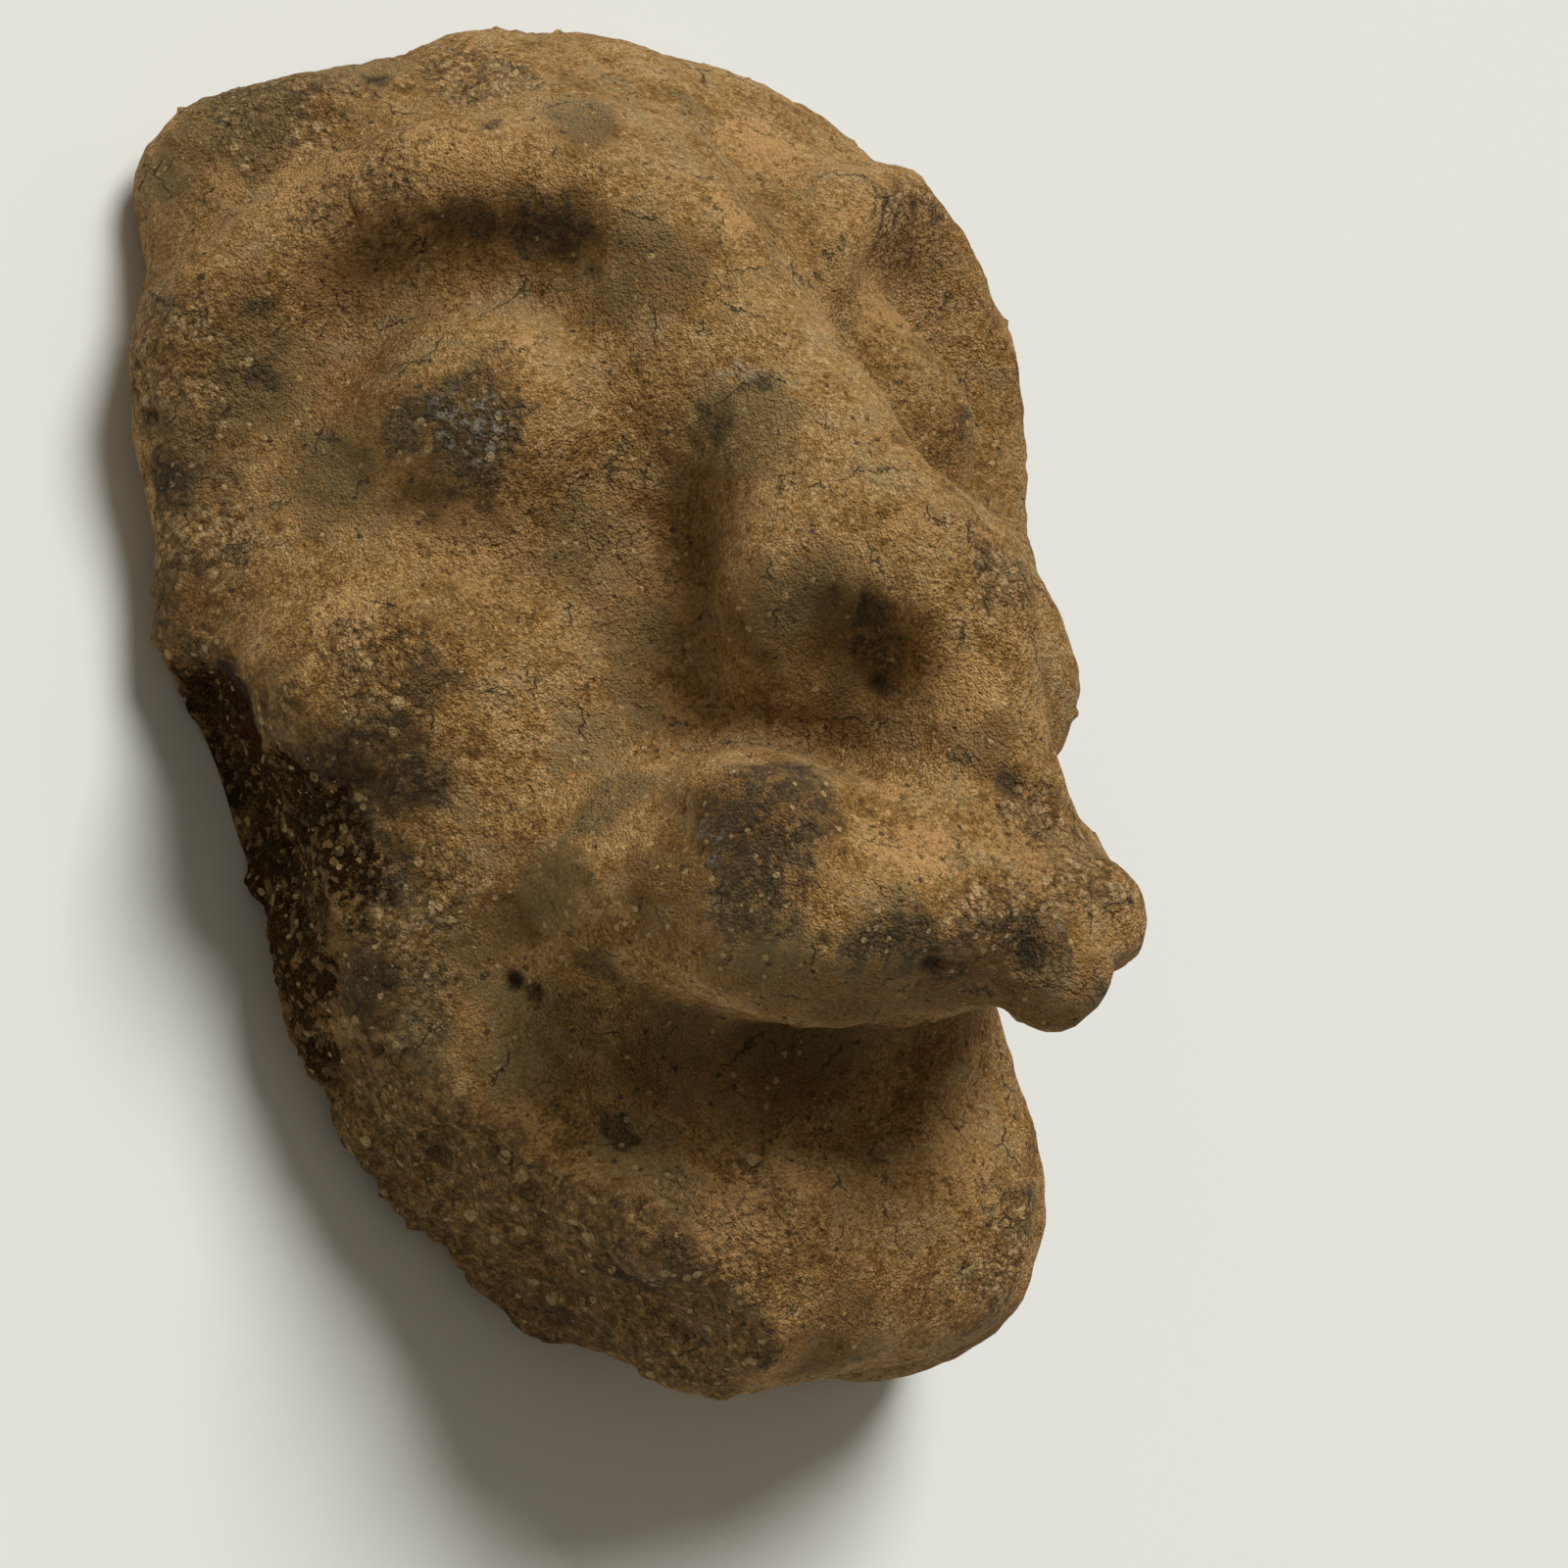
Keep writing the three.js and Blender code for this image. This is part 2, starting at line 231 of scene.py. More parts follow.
@dataclass(frozen=True)
class Roll:
    """Roll of clay along points that also carry its radius."""

    points: tuple[tuple[float, float, float, float], ...]

    def distance(self, points: Array) -> Array:
        """Signed distance, below zero inside.

        For each stretch, the nearest place along it is found, and the distance from there less
        the radius there counts. The smallest over the stretches is the result.

        Args:
            points: Places, shape (..., 3).

        Returns:
            Distances of the points.
        """
        best = np.full(points.shape[:-1], np.inf)
        for start, end in zip(self.points[:-1], self.points[1:]):
            a, b = np.array(start), np.array(end)
            along = (b - a)[:3]
            share = np.clip((points - a[:3]) @ along / (along @ along), 0, 1)
            gap = points - a[:3] - share[..., None] * along
            reach = np.sqrt((gap * gap).sum(-1)) - a[3] - share * (b[3] - a[3])
            best = np.minimum(best, reach)
        return best


@dataclass(frozen=True)
class Slice:
    """Everything on the outer side of a plane through a point."""

    through: Triple
    facing: Triple

    def distance(self, points: Array) -> Array:
        """Signed distance to the plane, below zero on its outer side."""
        return (np.array(self.through) - points) @ unit(self.facing)


Form = Union[Egg, Roll, Slice]


def bump(top: Triple, facing: Triple, foot: tuple[float, float], height: float) -> Egg:
    """A bump, as an egg that stands 0.625 of its half depth out of the clay.

    Its half depth is so 1.6 heights, and at the foot it is 0.927 of its full width.

    Args:
        top: Highest point.
        facing: Way that the bump faces.
        foot: Half sizes of its foot.
        height: Height over the foot.

    Returns:
        The egg.
    """
    depth = 1.6 * height
    centre = tuple(np.array(top) - unit(facing) * depth)
    return Egg(centre, (foot[0] / 0.927, foot[1] / 0.927, depth), facing)


def dent(mouth: Triple, facing: Triple, size: tuple[float, float], depth: float) -> Egg:
    """A dent, as an egg whose centre lies 2.5 depths out of the clay.

    Its half depth is so 3.5 depths, and at the mouth it is 0.7 of its full width.

    Args:
        mouth: Middle of its mouth.
        facing: Way that the dent faces.
        size: Half sizes of the mouth.
        depth: Depth under the mouth.

    Returns:
        The egg.
    """
    centre = tuple(np.array(mouth) + unit(facing) * 2.5 * depth)
    return Egg(centre, (size[0] / 0.7, size[1] / 0.7, 3.5 * depth), facing)


def brow(
    centre: tuple[float, float],
    radii: tuple[float, float],
    angles: tuple[float, float],
    heights: tuple[float, float],
    thick: tuple[float, float],
    steps: int = 12,
) -> Roll:
    """A brow, as a roll on an elliptic arc round the socket.

    The height rises from the outer foot to the inner head by the sine of a quarter turn, and the
    thickness in a straight line.

    Args:
        centre: Middle of the arc.
        radii: Half width and half height of the arc.
        angles: Angles of the foot and the head, in degrees.
        heights: Heights of the foot and the head above the back.
        thick: Radii of the roll at the foot and the head.
        steps: Straight stretches along the arc.

    Returns:
        The roll.
    """
    share = np.linspace(0, 1, steps + 1)
    angle = np.radians(angles[0] + share * (angles[1] - angles[0]))
    x = centre[0] + radii[0] * np.cos(angle)
    y = centre[1] + radii[1] * np.sin(angle)
    z = heights[0] + (heights[1] - heights[0]) * np.sin(share * math.pi / 2)
    wide = thick[0] + share * (thick[1] - thick[0])
    return Roll(tuple(map(tuple, np.stack([x, y, z, wide], -1))))


class Work(Enum):
    """What is done with a form."""

    ADD = "clay put on"
    CUT = "clay taken away"


@dataclass(frozen=True)
class Step:
    """One form of the head, with the width over which it runs into the rest."""

    name: str
    work: Work
    blend: float
    form: Form


@dataclass(frozen=True)
class Wave:
    """One slow wave left by the hand."""

    height: float
    length: float
    along: Triple
    start: float

    def at(self, points: Array) -> Array:
        """Height times the sine of the place along the wave."""
        phase = 2 * math.pi * (points @ unit(self.along)) / self.length
        return self.height * np.sin(phase + math.radians(self.start))


SIDE_BREAK = Slice((-44, -10, 12), (-0.97, -0.22, 0.08))
BREAK_HOLLOW = Egg((-54, -11.5, 3), (16.5, 24.5, 24))
JAW_BREAK = Slice((-29, -42.8, 10), (-0.80, -0.60, 0))

HEAD_STEPS = (
    Step("upper left corner", Work.ADD, 9, Egg((-29.5, 51, 10), (12.5, 11.5, 13))),
    Step("left flank", Work.CUT, 12, Slice((-40, 28, 14), (-0.60, 0.12, 0.78))),
    Step(
        "left brow",
        Work.ADD,
        11,
        brow((-22, 27), (19, 19.5), (160, 30), (9, 31.5), (3.5, 5.5)),
    ),
    Step(
        "right brow",
        Work.ADD,
        10,
        brow((29, 27.5), (14.5, 16.5), (20, 145), (18, 31), (4, 5.5)),
    ),
    Step("left socket", Work.CUT, 8, dent((-22, 28, 31), (-0.5, 0, 0.86), (15.5, 14), 8)),
    Step("right socket", Work.CUT, 8, dent((30, 27, 30), (0.5, 0, 0.86), (13, 14), 6.5)),
    Step("left eye", Work.ADD, 9, bump((-22.5, 24, 36.5), (-0.25, 0.05, 0.95), (11.5, 11), 8)),
    Step("right eye", Work.ADD, 9, bump((28, 25, 36.5), (0.3, 0.1, 0.95), (10.5, 11), 8)),
    Step("nose ridge", Work.ADD, 14, Roll(((-1, 44, 28, 10), (1.5, 24, 36, 10), (5, 8, 42, 9.5)))),
    Step("left cheek", Work.ADD, 12, Egg((-29, 0, 20), (16, 10, 10))),
    Step("right cheek", Work.ADD, 10, Egg((36, -1, 21), (10, 11, 12))),
    Step("muzzle", Work.ADD, 12, Egg((1, -20, 31), (28, 12, 31), (0, -0.38, 0.925), 2.3)),
    Step("nose ball", Work.ADD, 14, Egg((4, 1.5, 46), (15, 11, 11))),
    Step("nose foot", Work.ADD, 12, Roll(((9, -3, 49, 6), (10, -18, 50, 7)))),
    Step("left lip lobe", Work.ADD, 6, Egg((-13.5, -18.5, 46.5), (8, 7.5, 7))),
    Step("chin", Work.ADD, 16, Egg((-1.5, -52.8, 24), (25.5, 13, 12), (0, 0, 1), 2.6)),
    Step("nostril", Work.CUT, 5, dent((-4.5, -5, 50), (-0.45, -0.5, 0.7), (6, 4.5), 1.2)),
    Step("right waist", Work.CUT, 10, Egg((47, -34, 24), (14, 9, 18))),
    Step("mouth hollow", Work.CUT, 9, Egg((0, -44, 56), (38, 8, 22))),
    Step(
        "lip front",
        Work.ADD,
        7,
        Roll(((-12, -29.5, 45, 4), (2, -31.5, 52.5, 5), (14, -31, 56, 5.5))),
    ),
    Step("hanging lobe", Work.ADD, 5, Egg((8, -35.2, 57), (6, 4.5, 4.5))),
    Step("broken side", Work.CUT, 3, SIDE_BREAK),
    Step("hollow of the break", Work.CUT, 3, BREAK_HOLLOW),
    Step("broken jaw", Work.CUT, 4, JAW_BREAK),
)

HAND_WAVES = (
    Wave(0.45, 37, (0.8, 0.6, 0.2), 40),
    Wave(0.40, 26, (-0.5, 0.8, 0.5), 115),
    Wave(0.30, 17, (0.3, -0.4, 0.9), 250),
    Wave(0.22, 12, (0.9, -0.5, -0.3), 10),
)


@dataclass(frozen=True)
class HeadShape:
    """The worked clay as a signed distance: a slab with a named rim, and the forms in order."""

    middle: tuple[float, float] = (2, 0)
    rim: tuple[float, ...] = (
        46, 55, 65, 67.7, 68.5, 64.5, 60.5, 50.3, 51, 46.5, 53, 60.5, 62.5, 70, 41, 40,
    )
    widest: float = 8
    face_rise: float = 28
    back_edge: float = 13
    flank_power: float = 2.4
    slope_step: float = 0.05
    steps: tuple[Step, ...] = HEAD_STEPS
    waves: tuple[Wave, ...] = HAND_WAVES

    def rim_at(self, angle: Array) -> Array:
        """Radius of the rim, a cubic curve through the rim sizes.

        Between two sizes b and c, with a before and d after them, the curve is
        (2b + (c - a)t + (2a - 5b + 4c - d)t^2 + (3b - a - 3c + d)t^3) / 2.

        Args:
            angle: Angles round the middle, in radians.

        Returns:
            Radii at the angles.
        """
        sizes = np.array(self.rim, float)
        place = angle / (2 * math.pi) % 1 * len(sizes)
        cell = np.floor(place).astype(int)
        t = place - cell
        a, b, c, d = (sizes[(cell + k) % len(sizes)] for k in (-1, 0, 1, 2))
        bend = 2 * a - 5 * b + 4 * c - d
        return 0.5 * (2 * b + (c - a) * t + bend * t**2 + (3 * b - a - 3 * c + d) * t**3)

    def slab(self, points: Array) -> Array:
        """Signed distance to the plain slab with rounded flanks.

        The gauge is the n-th root of outline^n + rise^n, where outline is the distance from the
        middle over the rim's radius, and rise is the height from the widest outline over the
        face's rise, or over the back edge's below it. The distance is (gauge - 1) times the
        distance from the middle, over the gauge.

        Args:
            points: Places, shape (..., 3).

        Returns:
            Distances, below zero inside.
        """
        x = points[..., 0] - self.middle[0]
        y = points[..., 1] - self.middle[1]
        z = points[..., 2] - self.widest
        across = np.hypot(x, y)
        outline = across / self.rim_at(np.arctan2(y, x))
        rise = np.abs(z) / np.where(z > 0, self.face_rise, self.back_edge)
        power = self.flank_power
        gauge = (outline**power + rise**power) ** (1 / power) + TINY
        return (gauge - 1) * np.hypot(across, z) / gauge

    def distance(self, points: Array) -> Array:
        """Signed distance to the worked clay.

        Each form in turn is joined by the soft minimum, or taken away by the soft maximum with
        its distance turned round. The waves of the hand are added to the result.

        Args:
            points: Places, shape (..., 3).

        Returns:
            Distances, below zero inside.
        """
        found = self.slab(points)
        for step in self.steps:
            other = step.form.distance(points)
            if step.work is Work.ADD:
                found = soft_min(found, other, step.blend)
            else:
                found = -soft_min(-found, other, step.blend)
        return found + sum(wave.at(points) for wave in self.waves)

    def slope(self, points: Array) -> tuple[Array, Array]:
        """Distance of the points and how it changes along each axis.

        Args:
            points: Places, shape (..., 3).

        Returns:
            The distances, and their differences over a short step along X, Y and Z.
        """
        here = self.distance(points)
        step = self.slope_step
        beside = [self.distance(points + step * np.eye(3)[axis]) for axis in range(3)]
        return here, (np.stack(beside, -1) - here[..., None]) / step

    def normals(self, points: Array) -> Array:
        """Way out of the clay at each point, the slope at length one."""
        slope = self.slope(points)[1]
        return slope / (np.linalg.norm(slope, axis=-1, keepdims=True) + TINY)

    def settle(self, points: Array, turns: int = 1, flat: bool = False) -> Array:
        """Points moved onto the surface, along the slope by distance over slope squared.

        Args:
            points: Places close to the surface.
            turns: How many times they are moved.
            flat: Whether their heights are kept.

        Returns:
            The moved points.
        """
        for _ in range(turns):
            here, slope = self.slope(points)
            if flat:
                slope = slope * np.array([1, 1, 0])
            points = points - slope * (here / ((slope * slope).sum(-1) + TINY))[..., None]
        return points


@dataclass(frozen=True)
class Wrap:
    """A square grid drawn over the face and flanks of the clay, down to the flat back.

    Rings of the square become rings round the pole. Rays leave from the heart, and each ring is
    given the angle away from the pole that spaces the rings evenly along the surface.
    """

    shape: HeadShape
    cells: int = 72
    heart: Triple = (2, 10, -4)
    pole: Triple = (0.06, -0.5, 0.86)
    reach: float = 100
    stride: float = 0.8
    halvings: int = 14
    lines: int = 96
    line_steps: int = 110
    widest_angle: float = 2.75
    rim_start: float = 0.8
    softening: int = 3
    evenness: float = 0.8
    rings: int = 80
    wide_rounds: int = 3
    wide_cells: int = 2
    fine_rounds: int = 8

    def ways(self, turn: Array, away: Array) -> Array:
        """Directions at a turn round the pole and an angle away from it.

        Args:
            turn: Turns round the pole.
            away: Angles away from the pole.

        Returns:
            Directions of length one, shape (..., 3).
        """
        out = unit(self.pole)
        side = unit(np.cross((0, 1, 0), out))
        local = [np.cos(turn) * np.sin(away), np.sin(turn) * np.sin(away), np.cos(away)]
        return np.stack(local, -1) @ np.stack([side, np.cross(out, side), out])

    def hits(self, turn: Array, away: Array) -> Array:
        """Outermost points of the clay on rays from the heart.

        Each ray is walked inwards in strides until it meets the clay, and the last stride is
        halved again and again.

        Args:
            turn: Turns round the pole.
            away: Angles away from the pole.

        Returns:
            Points on the surface, shape (..., 3).
        """
        rays = self.ways(turn, away)
        flat = rays.reshape(-1, 3)
        heart = np.array(self.heart, float)
        length = np.full(len(flat), float(self.reach))
        active = np.arange(len(flat))
        while len(active):
            outside = self.shape.distance(heart + length[active, None] * flat[active]) > 0
            active = active[outside & (length[active] > self.stride)]
            length[active] -= self.stride
        near, far = length.copy(), length + self.stride
        for _ in range(self.halvings):
            half = (near + far) / 2
            outside = self.shape.distance(heart + half[:, None] * flat) > 0
            far = np.where(outside, half, far)
            near = np.where(outside, near, half)
        return (heart + near[:, None] * flat).reshape(rays.shape)

    def spread(self) -> Array:
        """For every sample line, the angle away from the pole that each ring is given.

        The place of a ring is a share of the length along the surface plus a smaller share of
        the angle, both up to where the line crosses the height of the back.

        Returns:
            Angles, shape (lines, rings + 1).
        """
        turn = np.arange(self.lines) * 2 * math.pi / self.lines
        away = np.linspace(0, self.widest_angle, self.line_steps)
        points = self.hits(*np.meshgrid(turn, away, indexing="ij"))
        height = points[..., 2]
        under = np.argmax(height < 0, axis=1)
        line = np.arange(self.lines)
        above = height[line, under - 1]
        share = above / (above - height[line, under])
        limit = away[under - 1] + share * (away[under] - away[under - 1])
        gaps = np.linalg.norm(np.diff(points, axis=1), axis=-1)
        along = np.concatenate([np.zeros((self.lines, 1)), np.cumsum(gaps, axis=1)], 1)
        marks = np.linspace(0, 1, self.rings + 1)
        rows = []
        for k in range(self.lines):
            longest = np.interp(limit[k], away, along[k])
            place = self.evenness * along[k] / longest + (1 - self.evenness) * away / limit[k]
            rows.append(np.interp(marks, place, away))
        table = np.array(rows)
        for _ in range(self.softening):
            beside = np.roll(table, 1, axis=0) + np.roll(table, -1, axis=0)
            table = 0.5 * table + 0.25 * beside
        return table

    def away_at(self, table: Array, ring: Array, turn: Array) -> Array:
        """Angle away from the pole, read between the lines and rings of the spread table.

        Args:
            table: The spread table.
            ring: Rings, from 0 at the pole to 1 at the back.
            turn: Turns round the pole.

        Returns:
            Angles at the rings and turns.
        """
        place = turn / (2 * math.pi) % 1 * self.lines
        line = np.floor(place).astype(int)
        across = place - line
        first, second = line % self.lines, (line + 1) % self.lines
        step = np.minimum(np.floor(ring * self.rings).astype(int), self.rings - 1)
        along = ring * self.rings - step
        near = table[first, step] * (1 - across) + table[second, step] * across
        far = table[first, step + 1] * (1 - across) + table[second, step + 1] * across
        return near * (1 - along) + far * along

    def rim(self, table: Array, turn: Array) -> Array:
        """Points where the surface meets the flat back, found by halving the angle.

        Args:
            table: The spread table.
            turn: Turns round the pole.

        Returns:
            Points at height 0, shape (..., 3).
        """
        near = self.rim_start * self.away_at(table, np.ones_like(turn), turn)
        far = np.full_like(near, self.widest_angle)
        for _ in range(2 * self.halvings):
            half = (near + far) / 2
            above = self.hits(turn, half)[..., 2] > 0
            near = np.where(above, half, near)
            far = np.where(above, far, half)
        points = self.hits(turn, near)
        points[..., 2] = 0
        return points

    def coarse(self) -> Array:
        """The grid at its first count of cells, smoothed and settled onto the surface.

        A place (s, t) of the square is on the ring max(|s|, |t|). Its turn is 45 degrees times
        t / s, or a quarter turn less 45 degrees times s / t where |t| is the larger.

        Returns:
            Points, shape (cells + 1, cells + 1, 3).
        """
        line = np.linspace(-1, 1, self.cells + 1)
        s, t = np.meshgrid(line, line)
        ring = np.maximum(np.abs(s), np.abs(t))
        lying = np.abs(s) >= np.abs(t)
        ratio = np.where(lying, t / np.where(s == 0, 1, s), s / np.where(t == 0, 1, t))
        flank = math.pi / 4 * ratio + np.where(s < 0, math.pi, 0)
        upright = np.where(t > 0, 1, -1) * math.pi / 2 - math.pi / 4 * ratio
        turn = np.where(lying, flank, upright)
        table = self.spread()
        points = self.hits(turn, self.away_at(table, ring, turn))
        edge = ring == 1
        points[edge] = self.rim(table, turn[edge])
        for _ in range(self.wide_rounds):
            points = self.smooth(points, self.wide_cells)
        for _ in range(self.fine_rounds):
            points = self.smooth(points, 1)
        return points

    def smooth(self, points: Array, cells: int) -> Array:
        """Inner points drawn half way to the middle of four neighbours, then settled.

        Args:
            points: The grid.
            cells: How many cells away the neighbours are, less near the edge.

        Returns:
            The smoothed grid.
        """
        count = len(points) - 1
        j, i = np.mgrid[1:count, 1:count]
        inset = np.minimum(np.minimum(i, j), np.minimum(count - i, count - j))
        k = np.minimum(cells, inset)
        middle = (points[j, i - k] + points[j, i + k] + points[j - k, i] + points[j + k, i]) / 4
        inner = points[1:-1, 1:-1]
        moved = points.copy()
        moved[1:-1, 1:-1] = self.shape.settle(inner + 0.5 * (middle - inner), 2 if cells > 1 else 1)
        return moved

    def fine(self, times: int, rounds: int) -> Array:
        """The grid with each cell divided, settled onto the surface and smoothed.

        Args:
            times: Into how many each side of a cell is divided.
            rounds: Rounds of smoothing.

        Returns:
            Points, shape (cells * times + 1, cells * times + 1, 3).
        """
        coarse = self.coarse()
        places = np.linspace(0, self.cells, self.cells * times + 1)
        for _ in range(2):
            cell = np.minimum(places.astype(int), self.cells - 1)
            share = (places - cell)[:, None, None]
            coarse = coarse[cell] * (1 - share) + coarse[cell + 1] * share
            coarse = coarse.transpose(1, 0, 2)
        points = self.shape.settle(coarse, 2)
        for _ in range(rounds):
            points = self.smooth(points, 1)
        for side in (points[0], points[-1], points[:, 0], points[:, -1]):
            side[:, 2] = 0
            side[:] = self.shape.settle(side, 3, flat=True)
        return points


class StainKind(Enum):
    """Kinds of mark on the clay, each with the name of its mesh attribute. Sheen is painted
    highlight and the dark of pits is painted shade; the yellow-brown marks are partly painted
    light, the dark brown marks partly painted shade and the near-black break partly painted shadow.
    """

    SOOT = "soot"
    SMOKE = "smoke"
    OCHRE_AND_PAINTED_LIGHT = "ochre_and_painted_light"
    UMBER_AND_PAINTED_SHADE = "umber_and_painted_shade"
    SHEEN = "sheen"
    PIT = "pit"
    NOTCH = "notch"
    ROUGH = "rough"
    CHAR_AND_PAINTED_SHADOW = "char_and_painted_shadow"


@dataclass(frozen=True)
class Stain:
    """One mark, at a place on the surface."""

    name: str
    place: Triple
    radius: float


